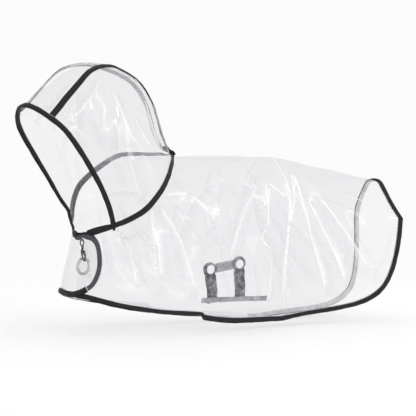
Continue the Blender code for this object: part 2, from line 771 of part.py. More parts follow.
def snap(name, middle, out, group, skin):
    """A round press stud with a softened rim."""
    mesh = bpy.data.meshes.new(name)
    form = bmesh.new()
    radius = SNAP_DIAMETER / 2 * MM
    turn = Vector(out).to_track_quat("Z", "Y").to_matrix().to_4x4()
    place = Matrix.Translation(Vector(middle) * MM) @ turn
    bmesh.ops.create_cone(
        form, cap_ends=True, segments=32, radius1=radius, radius2=radius, depth=SNAP_HEIGHT * MM, matrix=place
    )
    form.to_mesh(mesh)
    form.free()
    made = add_object(name, mesh, group, skin)
    rim = made.modifiers.new("rim", "BEVEL")
    rim.width = 0.5 * MM
    rim.segments = 2
    rim.limit_method = "ANGLE"


def wire_mesh(name, path, facing, wire, closed, sides=10):
    """A round wire along a flat path in millimetres; facing is square to the plane of the path."""
    path = np.array(path, float)
    facing = unit(np.array(facing, float))
    if closed:
        ahead = unit(np.roll(path, -1, 0) - np.roll(path, 1, 0))
    else:
        ahead = unit(np.gradient(path, axis=0))
    side = unit(np.cross(ahead, facing))
    angles = np.arange(sides) * 2 * np.pi / sides
    round_in = side[:, None] * np.cos(angles)[None, :, None] + facing * np.sin(angles)[None, :, None]
    points = (path[:, None] + round_in * wire / 2).reshape(-1, 3)
    count = len(path)
    faces = []
    for i in range(count if closed else count - 1):
        for j in range(sides):
            a, b = i * sides + j, i * sides + (j + 1) % sides
            c, d = (a + sides) % len(points), (b + sides) % len(points)
            faces.append((a, b, d, c))
    if not closed:
        faces.append(tuple(range(sides))[::-1])
        faces.append(tuple(range((count - 1) * sides, count * sides)))
    mesh = bpy.data.meshes.new(name)
    mesh.from_pydata((points * MM).tolist(), [], faces)
    form = bmesh.new()
    form.from_mesh(mesh)
    bmesh.ops.recalc_face_normals(form, faces=form.faces)
    form.to_mesh(mesh)
    form.free()
    return mesh


def arc(centre, across, down, wide, tall, start, stop, count):
    """Points of an ellipse's arc. Angle 0 is along across and 90 degrees along down."""
    angles = np.radians(np.linspace(start, stop, count))
    return centre + np.cos(angles)[:, None] * across * wide + np.sin(angles)[:, None] * down * tall


def build_clasp(group, cutters, metal, bright, black):
    """The clasp, the ring that it holds and the thread loop that it hangs by."""
    eye_top, ring_top = np.array(EYE_TOP), np.array(RING_TOP)
    down = unit(np.array(RING_LOW) - ring_top)
    face = np.array(RING_FACES)
    face = unit(face - down * np.dot(face, down))
    across = np.cross(face, down)
    circle = arc(ring_top + down * RING_RADIUS, across, down, RING_RADIUS, RING_RADIUS, 0, 350, 36)
    add_object("ring", wire_mesh("ring", circle, face, RING_WIRE, True, 12), group, bright)

    along = unit(ring_top - eye_top)
    flat = unit(face - along * np.dot(face, along))
    tangent = np.cross(along, flat)
    facing = flat * math.cos(HOOK_TURN) + tangent * math.sin(HOOK_TURN)
    wide = np.cross(along, facing)
    bend = np.linalg.norm(ring_top - eye_top) - HOOK_SLACK

    barrel = bpy.data.meshes.new("clasp")
    form = bmesh.new()
    turn = Vector(along).to_track_quat("Z", "Y").to_matrix().to_4x4()
    middle = eye_top + along * (BARREL_FROM + BARREL_TO) / 2
    place = Matrix.Translation(Vector(middle) * MM) @ turn
    radius = BARREL_DIAMETER / 2 * MM
    depth = (BARREL_TO - BARREL_FROM) * MM
    bmesh.ops.create_cone(
        form, cap_ends=True, segments=16, radius1=radius, radius2=radius, depth=depth, matrix=place
    )
    form.to_mesh(barrel)
    form.free()
    clasp = add_object("clasp", barrel, group, metal)

    eye = arc(eye_top + along * EYE_HEIGHT / 2, tangent, along, EYE_WIDTH / 2, EYE_HEIGHT / 2, 0, 348, 30)
    places = ((BARREL_TO - 1.6, -0.2), (BARREL_TO + 0.2, -0.4), (BARREL_TO + 3.2, -2.3))
    start = [eye_top + along * down_it + wide * out for down_it, out in places]
    bow = arc(eye_top + along * bend, wide, along, HOOK_REACH, HOOK_REACH, 180, 0, 13)
    places = ((bend - 5.5, 3.9), (BARREL_TO + 5.0, 2.9), (BARREL_TO + 2.6, 2.3))
    tip = [eye_top + along * down_it + wide * out for down_it, out in places]
    hook = np.concatenate((start, bow, tip))
    for name, path, square, wire, closed in (
        ("clasp_eye_form", eye, flat, EYE_WIRE, True),
        ("clasp_hook_form", hook, facing, HOOK_WIRE, False),
    ):
        form = add_object(name, wire_mesh(name, path, square, wire, closed), cutters, metal)
        form.hide_render = True
        form.display_type = "WIRE"
        join = clasp.modifiers.new(name, "BOOLEAN")
        join.operation = "UNION"
        join.solver = "EXACT"
        join.object = form

    loop = arc(eye_top - flat * LOOP_SET, flat, along, LOOP_RADIUS, LOOP_RADIUS, 0, 340, 18)
    add_object("clasp_loop", wire_mesh("clasp_loop", loop, tangent, LOOP_WIRE, True, 8), group, black)


def build_nape_tab(group, skin):
    """A tab of folded tape that bridges the end of the crown and the neck tape."""
    path = at_shares(smooth_curve([(x, z, 0) for x, z in NAPE_TAB]), np.linspace(0, 1, 12))
    half = NAPE_TAB_WIDTH / 2
    grid = [[(y, x, z) for y in (-half, 0.0, half)] for x, z, _ in path]
    sheet("nape_tab", pose(np.array(grid)), TAPE, group, skin)


def build():
    clear_scene()
    coat = collection("dog_raincoat")
    film = material("clear_film", FILM_COLOUR, 0.12, alpha=0.3)
    black = material("black_twill_tape", BLACK, 0.85)
    white = material("white_plastic", WHITE, 0.35)
    metal = material("dark_metal", DARK_METAL, 0.35, metallic=1.0)
    bright = material("bright_metal", BRIGHT_METAL, 0.25, metallic=1.0)
    cutters = collection("cutters")

    neck = smooth_curve(NECK, (True, True))
    crown = smooth_curve(CROWN)
    half, necks = half_cape(neck)
    cape = pose(cape_grid(half))
    cape_out = outward(cape, np.array((-80.0, 0.0, -110.0)))
    sheet("cape_panel", cape, FILM, coat, film)

    side, top = hood_side(crown, necks)
    hood_centre = np.array((-300.0, -15.0, 0.0))
    sides = {}
    for name, sign in (("left", -1.0), ("right", 1.0)):
        grid = pose(side * np.array((sign, 1.0, 1.0)))
        sides[name] = (grid, outward(grid, hood_centre))
        sheet(f"hood_side_{name}", grid, FILM, coat, film)
    stations = at_shares(crown, np.linspace(0, 1, len(top)))
    top_grid = pose(crown_grid(stations))
    top_out = outward(top_grid, hood_centre)
    sheet("hood_crown", top_grid, FILM, coat, film)
    build_bindings(cape, cape_out, sides, top, top_grid, top_out, coat, black)
    build_strap(tree_of(cape[:40]), coat, black, white)
    build_nape_tab(coat, black)
    build_clasp(coat, cutters, metal, bright, black)


build()
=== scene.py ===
# %% [markdown]
# # A clear raincoat for a small dog
#
# The coat is sewn from clear film: one cape that wraps the back, flanks and chest, and a hood of two sides
# and a crown. Black twill tape binds every edge and covers every seam. A folded strap with two press studs
# lies inside the left flank, and a small clasp with a ring hangs at the throat.
#
# The sizes and the joints are fixed by the frame that is loaded here. This lesson dresses that frame: it
# makes each sewn piece at full detail on the form of its solid, gives it a finish, and lights it.

import math

import bpy
import numpy as np
from mathutils import Matrix, Vector
from mathutils.bvhtree import BVHTree


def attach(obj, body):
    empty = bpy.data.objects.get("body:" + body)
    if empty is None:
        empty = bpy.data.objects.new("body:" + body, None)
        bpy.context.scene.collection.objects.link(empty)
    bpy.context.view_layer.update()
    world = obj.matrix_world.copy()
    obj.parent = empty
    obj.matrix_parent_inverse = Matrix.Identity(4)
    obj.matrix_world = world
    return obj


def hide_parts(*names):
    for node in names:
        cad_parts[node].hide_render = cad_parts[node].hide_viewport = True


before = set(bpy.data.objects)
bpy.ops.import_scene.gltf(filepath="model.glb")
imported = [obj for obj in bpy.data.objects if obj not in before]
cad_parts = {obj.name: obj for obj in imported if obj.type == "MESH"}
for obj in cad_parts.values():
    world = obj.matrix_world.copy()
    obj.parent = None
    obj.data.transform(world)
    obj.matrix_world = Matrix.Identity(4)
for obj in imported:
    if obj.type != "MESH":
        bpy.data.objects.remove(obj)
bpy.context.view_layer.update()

# %% [markdown]
# ## Camera
#
# The camera looks at the coat's left side from a little in front of it, almost level with the back. It is
# placed from its viewing angle, its distance and where the origin of the coat falls in the frame, so each
# number can be read and changed by itself. A long lens at 2.2 metres keeps the hood and the tail in
# proportion.

# %% Camera
VIEW_AZIMUTH = math.radians(31.0)
VIEW_ELEVATION = math.radians(1.0)
VIEW_DISTANCE = 2.2
FRAME_WIDTH = 0.624  # metres that the frame takes in at the coat's distance
LENS_OVER_FRAME = VIEW_DISTANCE / FRAME_WIDTH
SENSOR = 36.0  # width of the sensor in millimetres
ORIGIN_RIGHT = 64.0 / 416  # where the coat's origin falls, as shares of the frame from its middle
ORIGIN_UP = 50.5 / 416

right = Vector((math.cos(VIEW_AZIMUTH), -math.sin(VIEW_AZIMUTH), 0))
ahead = Vector((math.sin(VIEW_AZIMUTH), math.cos(VIEW_AZIMUTH), 0)) * math.cos(VIEW_ELEVATION)
ahead.z = -math.sin(VIEW_ELEVATION)
up = right.cross(ahead)
sight = ahead + (right * ORIGIN_RIGHT + up * ORIGIN_UP) / LENS_OVER_FRAME
bpy.ops.object.select_all(action="DESELECT")
bpy.ops.object.camera_add(location=-sight * VIEW_DISTANCE)
camera = bpy.context.object
camera.name = "camera"
camera.rotation_euler = Matrix((right, up, -ahead)).transposed().to_euler()
camera.data.sensor_width = SENSOR
camera.data.lens = SENSOR * LENS_OVER_FRAME
camera.data.clip_end = 30.0
bpy.context.scene.camera = camera
bpy.context.scene.view_settings.view_transform = "Standard"
print("camera at", [round(v, 3) for v in camera.location], "lens", round(camera.data.lens, 1), "mm")

# %% [markdown]
# ## The coat's measurements
#
# A pattern cutter works from a short table of measurements. These are the coat's: the neck seam, the hem,
# the cross sections of the filled-out body, the edge of the face opening and the crown seam. They are in
# millimetres for a coat that looks straight ahead, and are the same numbers that the solids were made from,
# so that the detailed pieces lie exactly on them.

# %% Walls, tapes and the turn of the head
MM = 0.001
FILM = 1.0  # wall of a film panel
TAPE = 0.8  # wall of a binding or strap tape
GAP = 0.35  # clearance between a tape and the film that it lies on
SEAM = 0.8  # how far a film panel stops short of its seam line
BOUND = 6.8  # reach of a hem binding in from the film's edge
FACE_BOUND = 5.8  # the same at the face opening
NECK_TAPE = 9.6  # width of the tape over the neck seam
CROWN_TAPE = 7.4  # width of the tape over a crown seam
FLAP_LIFT = 4.8  # how far the chest flap lies outside the left front
FLAP_TAPE = 7.5  # width of the tape inside the flap's end
FLAP_TAPE_ENDS = 17.4  # station of the flap's border where that tape gives way to the hem binding
NAPE_X = -176.0
TURN = math.radians(8.0)  # how far the head turns to its left, about the nape
LEAN = math.radians(5.0)  # how far it leans over as it turns
TURN_FROM_X = -90.0
LEAN_FROM_Z = -240.0
LEAN_TO_Z = -110.0
LAID = FILM / 2 + GAP + TAPE / 2  # from a film panel's middle to the middle of a tape laid on it

# %% Neck seam, from the nape to the throat. Columns: half width, x, z
NECK = (
    (0, -176, 0),
    (25, -193, -2),
    (45, -208, -3),
    (64, -223, -6.5),
    (81, -241, -23),
    (90, -257.5, -40.4),
    (91, -269.5, -54),
    (85, -279.5, -68),
    (70, -292, -81.5),
    (49, -306, -93),
    (31, -317, -101),
    (12, -323.5, -109),
    (0, -325, -111.5),
)

# %% Hem, from the tail to the chest, in runs that meet at corners. Columns: half width, x, z
HEM_TAIL = (
    (0, 193.6, -34),
    (13.5, 194.5, -36.7),
    (26, 194.5, -50),
    (39, 195.5, -67),
    (50, 199, -83),
    (56.5, 203, -94),
)
HEM_REAR = (
    (56.5, 203, -94),
    (54, 201.5, -124),
    (50, 197.5, -155),
    (46, 190, -182),
    (42, 176, -204),
    (39, 150, -219.5),
    (38, 113, -227.5),
    (40, 75.7, -231.5),
    (43, 29.1, -234.8),
    (47, -12.4, -240),
)
HEM_BELLY = (
    (47, -12.4, -240),
    (53, -64, -239.5),
    (59, -111, -238),
    (62, -150.5, -233.5),
    (63, -163.4, -231),
)
HEM_FRONT = (
    (63, -167, -225),
    (66, -205, -222),
    (66.5, -242, -217.5),
    (65, -290, -210),
    (60, -312, -205),
    (51, -326, -200.5),
    (36, -336.5, -196.5),
    (18, -341.5, -194.5),
    (0, -343, -194),
)
RUN_COLUMNS = {"tail": 6, "rear": 17, "belly": 6, "front": 10}  # panel columns in each run
CROWDING = 1.3  # how the front run's columns crowd towards the middle of the chest; 1 is evenly
# How far from the hem a panel column turns square to it. Columns: panel column from the tail, distance.
SWEEP = ((0, 0), (14, 0), (20, 40), (25, 60), (31, 60), (39, 0))

# %% Cross-sections of the body. Columns: x, top, half width, level of that width, depth below it, squareness
SECTIONS = (
    (-300, 0.0, 91, -95, 165, 4.0),
    (-223, 1.0, 93, -98, 172, 4.0),
    (-163, 1.5, 90, -98, 181, 3.0),
    (-90, 1.0, 83, -99, 180, 2.5),
    (0, 0.0, 76, -100, 172, 2.1),
    (75, -13.5, 69, -100, 156, 1.9),
    (150, -27.0, 62, -99, 147, 1.6),
    (200, -36.0, 57, -98, 130, 1.4),
)
BELLY_SQUARE = 2.0
CHEST_X = -262.0
# Plan of the chest. Columns: z, reach forward of CHEST_X, squareness.
CHEST = ((-190, 81, 2.1), (-150, 71, 1.6), (-111, 63, 1.35), (-82, 45, 1.3), (-60, 42, 1.3))
CHEST_BLEND = 20.0
# Largest folds. Columns: start x, start z, end x, end z, height, half breadth.
FOLDS = (
    (4, -20, -34, -150, 3.0, 16),
    (30, -30, 40, -150, -3.0, 15),
    (34, -30, 108, -180, 3.5, 17),
    (96, -60, 168, -170, 2.5, 17),
    (-36, -50, -92, -110, -2.5, 16),
    (-232, -70, -178, -180, 3.0, 17),
    (-206, -50, -134, -118, 3.0, 16),
    (-196, -96, -150, -150, -2.0, 15),
)
FOLD_SLIP = 14.0  # how far back the right flank's folds lie from the left's
# How far the right flank hangs below the left. Columns: x, drop.
RIGHT_DROP = ((-300, -5.0), (-200, -3.0), (-60, 0.0), (0, 6.5), (200, 6.5))
DROP_BREADTH = 45.0  # half width by which the drop has come in
DROP_DEPTH = 200.0  # depth below the back by which it has come in

# %% Hood. Columns: half width, x, z, and for the crown the rise of the panel between its seams
FACE = (
    (56, -315.5, -79),
    (61.5, -328.5, -58),
    (64, -342.5, -37),
    (65, -358, -16.5),
    (64.5, -374.5, 5),
    (62, -390, 24.3),
    (54, -402.5, 40.5),
    (42, -410, 48.5),
)
CROWN = (
    (42, -410, 48.5, 20),
    (39, -395.8, 61.5, 19),
    (38, -382, 77, 17.5),
    (38, -370.5, 89.5, 15),
    (37.5, -358, 103, 12),
    (36, -349.4, 111.3, 9),
    (33.5, -337.5, 117.8, 7),
    (30, -324, 121.7, 5),
    (27, -311, 123, 4),
    (23, -297, 122, 3.5),
    (19.5, -284, 118.5, 3),
    (15, -266.6, 113.2, 2),
    (11, -247, 104, 1.5),
    (9, -235.4, 94.8, 1.2),
    (8.5, -225.6, 83, 1),
    (8.5, -215.5, 66.5, 1),
    (9, -207.5, 48, 1),
    (9, -202, 33, 1),
    (8.5, -193.5, 19, 1),
    (6, -184, 6, 1),
)
# Rounded end of the chest flap. Columns: reach past the middle of the chest, hundredths of the way down.
FLAP_END = (
    (8, 0),
    (19.5, 1.5),
    (31, 7),
    (39.5, 18),
    (45, 32),
    (47.5, 47),
    (47, 61),
    (43, 75),
    (33.5, 87.5),
    (20, 96.5),
    (9, 100),
)
HOOD_NECK_COLUMNS = 32  # neck columns, counted from the nape, that the hood is sewn to
HOOD_BULGE = 6.0  # how far the hood's side swells near the face
HOOD_HOLLOW = 1.7  # how much of that it loses by the nape; past 1 it is a hollow
HOOD_ROWS = 9
CROWN_ROWS = 5
CAPE_ROWS = 12
FLAP_COLUMNS = 6
FLAP_RISE = 4  # columns of the right front over which it rises to the flap
print("points:", len(NECK), "on the neck seam,", len(CROWN), "on a crown seam,", len(SECTIONS), "sections")

# %% [markdown]
# ## Drawing a panel
#
# A panel could be sculpted, or cut from a subdivided primitive, but a sewn panel is best described the way
# it is cut: by lines that run from one seam to another. A smooth line is drawn through each table, points
# are spaced along it by their real distance, and lines between two seams make a grid of points. The grid is
# the cloth.

# %% The turn of the head
def ease(share):
    """0 below 0, 1 above 1 and a smooth climb between."""
    share = np.clip(share, 0.0, 1.0)
    return share * share * (3.0 - 2.0 * share)


def pose(points):
    """Takes (signed half width, x, z) points of the straight coat to (x, y, z) in the worn pose."""
    y, x, z = np.moveaxis(np.asarray(points, float), -1, 0)
    drop = np.interp(x, *np.array(RIGHT_DROP).T)
    z = z - drop * ease(y / DROP_BREADTH) * ease(-z / DROP_DEPTH)
    share = ease((TURN_FROM_X - x) / (TURN_FROM_X - NAPE_X))
    lean = LEAN * share * ease((z - LEAN_FROM_Z) / (LEAN_TO_Z - LEAN_FROM_Z))
    turn = TURN * share
    across = y * np.cos(lean) - z * np.sin(lean)
    up = y * np.sin(lean) + z * np.cos(lean)
    ahead = x - NAPE_X
    placed = (
        NAPE_X + ahead * np.cos(turn) - across * np.sin(turn),
        ahead * np.sin(turn) + across * np.cos(turn),
        up + FILM / 2,
    )
    return np.stack(placed, -1)


print("the throat lies at", pose(NECK[-1]).round(1).tolist(), "mm in the worn pose")

# %% Lines through a table
def unit(vectors):
    """Vectors made one long."""
    size = np.linalg.norm(vectors, axis=-1, keepdims=True)
    return vectors / np.maximum(size, 1e-9)


def lengths(line):
    """Distances of a line's points from its start."""
    steps = np.linalg.norm(np.diff(line[:, :3], axis=0), axis=1)
    return np.concatenate(((0.0,), np.cumsum(steps)))


def at_lengths(line, distances):
    """Points of a line at distances from its start."""
    run = lengths(line)
    return np.stack([np.interp(distances, run, line[:, i]) for i in range(line.shape[1])], -1)


def at_shares(line, shares):
    """Points of a line at shares of its length."""
    return at_lengths(line, np.asarray(shares) * lengths(line)[-1])


def curve_between(t, start, leave, end, reach):
    """Points at t from 0 to 1 between two ends, on a curve with the slopes given at both."""
    return (
        start * (2 * t**3 - 3 * t**2 + 1)
        + leave * (t**3 - 2 * t**2 + t)
        + end * (3 * t**2 - 2 * t**3)
        + reach * (t**3 - t**2)
    )


def smooth_curve(rows, mirrored=(False, False), per_row=16):
    """A smooth line through the rows. At a mirrored end it crosses the middle plane squarely."""
    points = np.array(rows, float)
    flip = np.ones(points.shape[1])
    flip[0] = -1.0
    before = points[1] * flip if mirrored[0] else 2 * points[0] - points[1]
    after = points[-2] * flip if mirrored[1] else 2 * points[-1] - points[-2]
    padded = np.vstack((before, points, after))
    knots = lengths(padded)
    slopes = (padded[2:] - padded[:-2]) / (knots[2:] - knots[:-2])[:, None]
    line = [points[:1]]
    for i in range(len(points) - 1):
        step = knots[i + 2] - knots[i + 1]
        t = np.linspace(0, 1, per_row + 1)[1:, None]
        line.append(curve_between(t, points[i], slopes[i] * step, points[i + 1], slopes[i + 1] * step))
    return np.vstack(line)


neck = smooth_curve(NECK, (True, True))
crown = smooth_curve(CROWN)
print("half neck seam", round(lengths(neck)[-1]), "mm, crown seam", round(lengths(crown)[-1]), "mm")

# %% The filled-out body
def on_body(points):
    """Moves (half width, x, z) points out or in to the filled-out body."""
    width, x, z = points.T
    width = np.maximum(width, 0.0)
    table = np.array(SECTIONS).T
    top, wide, level, drop, square = (np.interp(x, table[0], column) for column in table[1:])
    rise = z - level
    tall = np.where(rise > 0, top - level, drop)
    power = np.where(rise > 0, square, BELLY_SQUARE)
    height = (np.abs(rise) / tall) ** power
    out = ((width / wide) ** power + height) ** (-1 / power)
    girth = np.stack((width * out, x, level + rise * out), -1)
    chest = np.array(CHEST, float).T
    reach, square_here = (np.interp(z, chest[0], column) for column in chest[1:])
    wide_here = wide * np.clip(1 - height, 0.02, 1) ** (1 / power)
    ahead = np.maximum(CHEST_X - x, 0.0)
    plan = (width / wide_here) ** square_here + (ahead / reach) ** square_here
    push = np.maximum(plan, 1e-6) ** (-1 / square_here)
    chest = np.stack((width * push, CHEST_X - ahead * push, z), -1)
    mix = ease((CHEST_X + CHEST_BLEND - x) / (2 * CHEST_BLEND))[:, None]
    return girth * (1 - mix) + chest * mix


print("half width at the shoulder", on_body(np.array(((100.0, NAPE_X, -98.0),)))[0, 0].round(1), "mm")

# %% Columns of the cape, from the neck to the hem
COLUMN_POINTS = 81
LEAVES_NECK = 0.15  # share of a column over which it leaves the neck seam for the body
REACHES_HEM = 0.12  # share over which it comes in to the hem


def row_distances(length, first, second, last, count):
    """Distances down a column: the seam edge, under the tape, evenly over the middle, and the far edge."""
    second = min(second, 0.3 * length)
    last = min(last, 0.25 * length)
    middle = np.linspace(second, length - last, count)
    return np.concatenate(((min(first, 0.3 * second),), middle, (length,)))


def hem_samples():
    """Hem points of one half with the direction of the hem at each, from the tail to the chest."""
    points, directions = [], []
    for rows, count, ends, first in (
        (HEM_TAIL, RUN_COLUMNS["tail"], (True, False), 0),
        (HEM_REAR, RUN_COLUMNS["rear"], (False, False), 1),
        (HEM_BELLY, RUN_COLUMNS["belly"], (False, False), 1),
        (HEM_FRONT, RUN_COLUMNS["front"], (False, True), 0),
    ):
        curve = smooth_curve(rows, ends)
        shares = np.arange(first, count + 1) / count
        if rows is HEM_FRONT:
            shares = 1 - (1 - shares) ** CROWDING
        ahead = unit(at_shares(curve, shares + 0.02) - at_shares(curve, shares - 0.02))
        points.extend(at_shares(curve, shares))
        directions.extend(ahead)
    corner = RUN_COLUMNS["tail"]
    directions[corner] = unit(directions[corner - 1] + directions[corner + 1])
    return np.array(points), np.array(directions)


def half_cape(neck):
    """Columns of one half of the cape, from the middle of the back to the middle of the chest."""
    hem, ahead = hem_samples()
    necks = at_shares(neck, np.linspace(0, 1, len(hem)))
    columns = []
    sweeps = np.interp(np.arange(len(hem)), *np.array(SWEEP, float).T)
    for top, bottom, direction, sweep in zip(necks, hem, ahead, sweeps):
        share = np.linspace(0, 1, COLUMN_POINTS)[:, None]
        up = unit((top - bottom) - direction * np.dot(top - bottom, direction))
        control = bottom + up * sweep if sweep else (top + bottom) / 2
        bent = top * (1 - share) ** 2 + control * 2 * share * (1 - share) + bottom * share**2
        swell = ease(share / LEAVES_NECK) * ease((1 - share) / REACHES_HEM)
        line = bent + (on_body(bent) - bent) * swell
        slant = np.dot(unit(line[-1] - line[-5]), direction)
        bound = BOUND / max(math.sqrt(1 - slant * slant), 0.4)
        run = lengths(line)[-1]
        columns.append(at_lengths(line, row_distances(run, SEAM, NECK_TAPE / 2, bound, CAPE_ROWS)))
    return np.array(columns), necks


half, necks = half_cape(neck)
print("half cape:", len(half), "columns of", half.shape[1], "points")

# %% Normals and folds
# Where a fold fades in and out: the share of its length that this takes, and how far along it already is.
FOLD_START = (0.25, 0.2)
FOLD_END = (0.35, 0.2)


def normals_of(grid):
    """Unit normals of a grid of points, by the cross product of its two directions."""
    return unit(np.cross(np.gradient(grid, axis=0), np.gradient(grid, axis=1)))


def normals_straight(grid):
    """The same for a grid of (half width, x, z) points, whose first two columns change places."""
    return normals_of(grid[..., [1, 0, 2]])[..., [1, 0, 2]]


def faded(share, start, end):
    """1 along a fold and less at its two ends."""
    return ease(share / start[0] + start[1]) * ease((1 - share) / end[0] + end[1])


def fold_heights(side, points):
    """Height of the largest folds at (signed half width, x, z) points on one side."""
    slip = FOLD_SLIP if side > 0 else 0.0
    total = np.zeros(points.shape[:-1])
    place = points[..., 1:]
    for x0, z0, x1, z1, height, breadth in FOLDS:
        start = np.array((x0 + slip, z0))
        run = np.array((x1 - x0, z1 - z0))
        share = ((place - start) @ run) / (run @ run)
        nearest = start + np.clip(share, 0, 1)[..., None] * run
        off = np.linalg.norm(place - nearest, axis=-1)
        fade = faded(share, FOLD_START, FOLD_END)
        total += height * fade * np.exp(-((off / breadth) ** 2)) * (points[..., 0] * side > 0)
    return total

# %% The cape with its chest flap
FLAP_REACH = 8  # columns of the left front that the flap can lie over


def flap_point(both, downs, down, reach):
    """A point of the flap: a share of the way down the left front and a reach from its middle line."""
    line = [[np.interp(down, share, places) for places in column.T] for share, column in zip(downs, both)]
    found = at_lengths(np.array(line), [reach])[0]
    return found[:3] + unit(found[3:]) * FLAP_LIFT


def cape_grid(half):
    """The whole cape as a grid: left front, back, right front and, over the left front, the chest flap."""
    signs = np.array((-1.0, 1.0, 1.0))
    last = len(half) - 1
    full = np.concatenate((half[::-1] * signs, half[1:]))
    out = normals_straight(full)
    if out[last // 2, CAPE_ROWS // 2, 0] > 0:
        out = -out
    away_from_edge = np.ones(full.shape[1])
    away_from_edge[[0, 1, -2, -1]] = 0.0
    for side in (-1, 1):
        full += out * (fold_heights(side, full) * away_from_edge)[..., None]
    lift = FLAP_LIFT * ease((np.arange(len(full)) - 2 * last + FLAP_RISE) / FLAP_RISE)
    lifted = full + out * lift[:, None, None]
    border = smooth_curve([(reach, down, 0) for reach, down in FLAP_END])
    end = at_shares(border, np.linspace(0, 1, full.shape[1]))
    downs = [lengths(column) / lengths(column)[-1] for column in full[:FLAP_REACH]]
    both = np.concatenate((full[:FLAP_REACH], out[:FLAP_REACH]), -1)
    flap = []
    for j in range(1, FLAP_COLUMNS + 1):
        share = j / FLAP_COLUMNS
        places = downs[0] * (1 - share) + end[:, 1] / 100 * share
        flap.append([flap_point(both, downs, down, reach * share) for down, reach in zip(places, end[:, 0])])
    return np.concatenate((lifted[1:], np.array(flap)))


straight_cape = cape_grid(half)
print("whole cape:", len(straight_cape), "columns,", FLAP_COLUMNS, "of them the flap")

# %% The hood's sides
FACE_POINTS = 33


def hood_side(crown, necks):
    """Grid of a hood side: columns from the face edge to the nape, rows from neck seam to crown seam."""
    bottom = necks[HOOD_NECK_COLUMNS:0:-1]
    count = len(bottom)
    shares = np.linspace(0, 1, count)
    top = at_shares(crown, shares)[:, :3]
    face = smooth_curve(np.vstack((bottom[0], np.array(FACE, float))))
    rows = np.linspace(0, 1, FACE_POINTS)
    front = at_shares(face, rows)
    back = bottom[-1] + (top[-1] - bottom[-1]) * rows[:, None]
    s = shares[:, None, None]
    r = rows[None, :, None]
    ruled = bottom[:, None] * (1 - r) + top[:, None] * r
    turned = front[None] * (1 - s) + back[None] * s
    corners = (bottom[0] * (1 - s) + bottom[-1] * s) * (1 - r) + (top[0] * (1 - s) + top[-1] * s) * r
    patch = ruled + turned - corners
    out = normals_straight(patch)
    if out[count // 2, FACE_POINTS // 2, 0] < 0:
        out = -out
    patch = patch + out * HOOD_BULGE * (1 - HOOD_HOLLOW * s) * np.sin(np.pi * s) ** 0.8 * np.sin(np.pi * r)
    columns = []
    for line in patch:
        run = lengths(line)[-1]
        wanted = row_distances(run, SEAM, NECK_TAPE / 2, CROWN_TAPE / 2, HOOD_ROWS)
        wanted[-1] = run - min(SEAM, 0.1 * run)
        columns.append(at_lengths(line, wanted))
    return np.array(columns), top


side, top = hood_side(crown, necks)
print("hood side:", len(side), "columns of", side.shape[1], "points")

# %% The hood's crown
def crown_grid(stations):
    """Grid of the crown panel: along it from brim to nape, across it from the left seam to the right."""
    width, x, z, rise = stations.T  # half width, place and the panel's rise between its seams
    along = np.gradient(stations[:, 1:3], axis=0)
    up = unit(np.stack((-along[:, 1], along[:, 0]), -1))
    rows = []
    for i in range(len(stations)):
        tape = min(CROWN_TAPE / 2, 0.45 * width[i])
        inner = np.linspace(width[i] - tape, -(width[i] - tape), CROWN_ROWS)
        places = np.concatenate(((width[i] - SEAM,), inner, (SEAM - width[i],)))
        lift = rise[i] * (1 - (places / width[i]) ** 2)
        rows.append(np.stack((-places, x[i] + up[i, 0] * lift, z[i] + up[i, 1] * lift), -1))
    return np.array(rows)


straight_crown = crown_grid(at_shares(crown, np.linspace(0, 1, len(top))))
print("crown:", len(straight_crown), "rows of", straight_crown.shape[1], "points")

# %% The four film panels as grids
def outward(grid, centre):
    """Unit normals of a posed grid that point away from a centre."""
    out = normals_of(grid)
    middle = grid.shape[0] // 2, grid.shape[1] // 2
    if np.dot(out[middle], grid[middle] - centre) < 0:
        out = -out
    return out


BODY_MIDDLE = np.array((-80.0, 0.0, -110.0))
HOOD_MIDDLE = np.array((-300.0, -15.0, 0.0))
cape = pose(straight_cape)
cape_out = outward(cape, BODY_MIDDLE)
hood = {}
for name, sign in (("left", -1.0), ("right", 1.0)):
    grid = pose(side * np.array((sign, 1.0, 1.0)))
    hood[name] = (grid, outward(grid, HOOD_MIDDLE))
crown_panel = pose(straight_crown)
crown_out = outward(crown_panel, HOOD_MIDDLE)
print("the cape reaches from", cape.min((0, 1)).round(), "to", cape.max((0, 1)).round(), "mm")

# %% [markdown]
# ## Finishes
#
# Each finish is worked out from numbers that vary over the surface, so a small class lets shader maths be
# written like ordinary sums: adding two sockets adds a Math node. Film, twill tape, thread, resin and two
# metals follow.

# %% A socket that can be added and multiplied
def maths(operation, swapped=False):
    """A method that adds a Math node. swapped puts the socket last, as in 1 - mask."""

    def method(self, *others):
        values = (*others, self) if swapped else (self, *others)
        return self.finish.node("ShaderNodeMath", {"operation": operation}, *values)

    return method


class Tone:
    """A value in a finish: the output socket of a node, with arithmetic that adds Math nodes."""

    def __init__(self, finish, socket):
        self.finish = finish
        self.socket = socket

    __add__ = maths("ADD")
    __radd__ = maths("ADD", swapped=True)
    __sub__ = maths("SUBTRACT")
    __rsub__ = maths("SUBTRACT", swapped=True)
    __mul__ = maths("MULTIPLY")
    __rmul__ = maths("MULTIPLY", swapped=True)
    power = maths("POWER")
    wave = maths("SINE")
    exponent = maths("EXPONENT")
    larger = maths("MAXIMUM")
    smaller = maths("MINIMUM")

    def clamp(self):
        return self.larger(0.0).smaller(1.0)

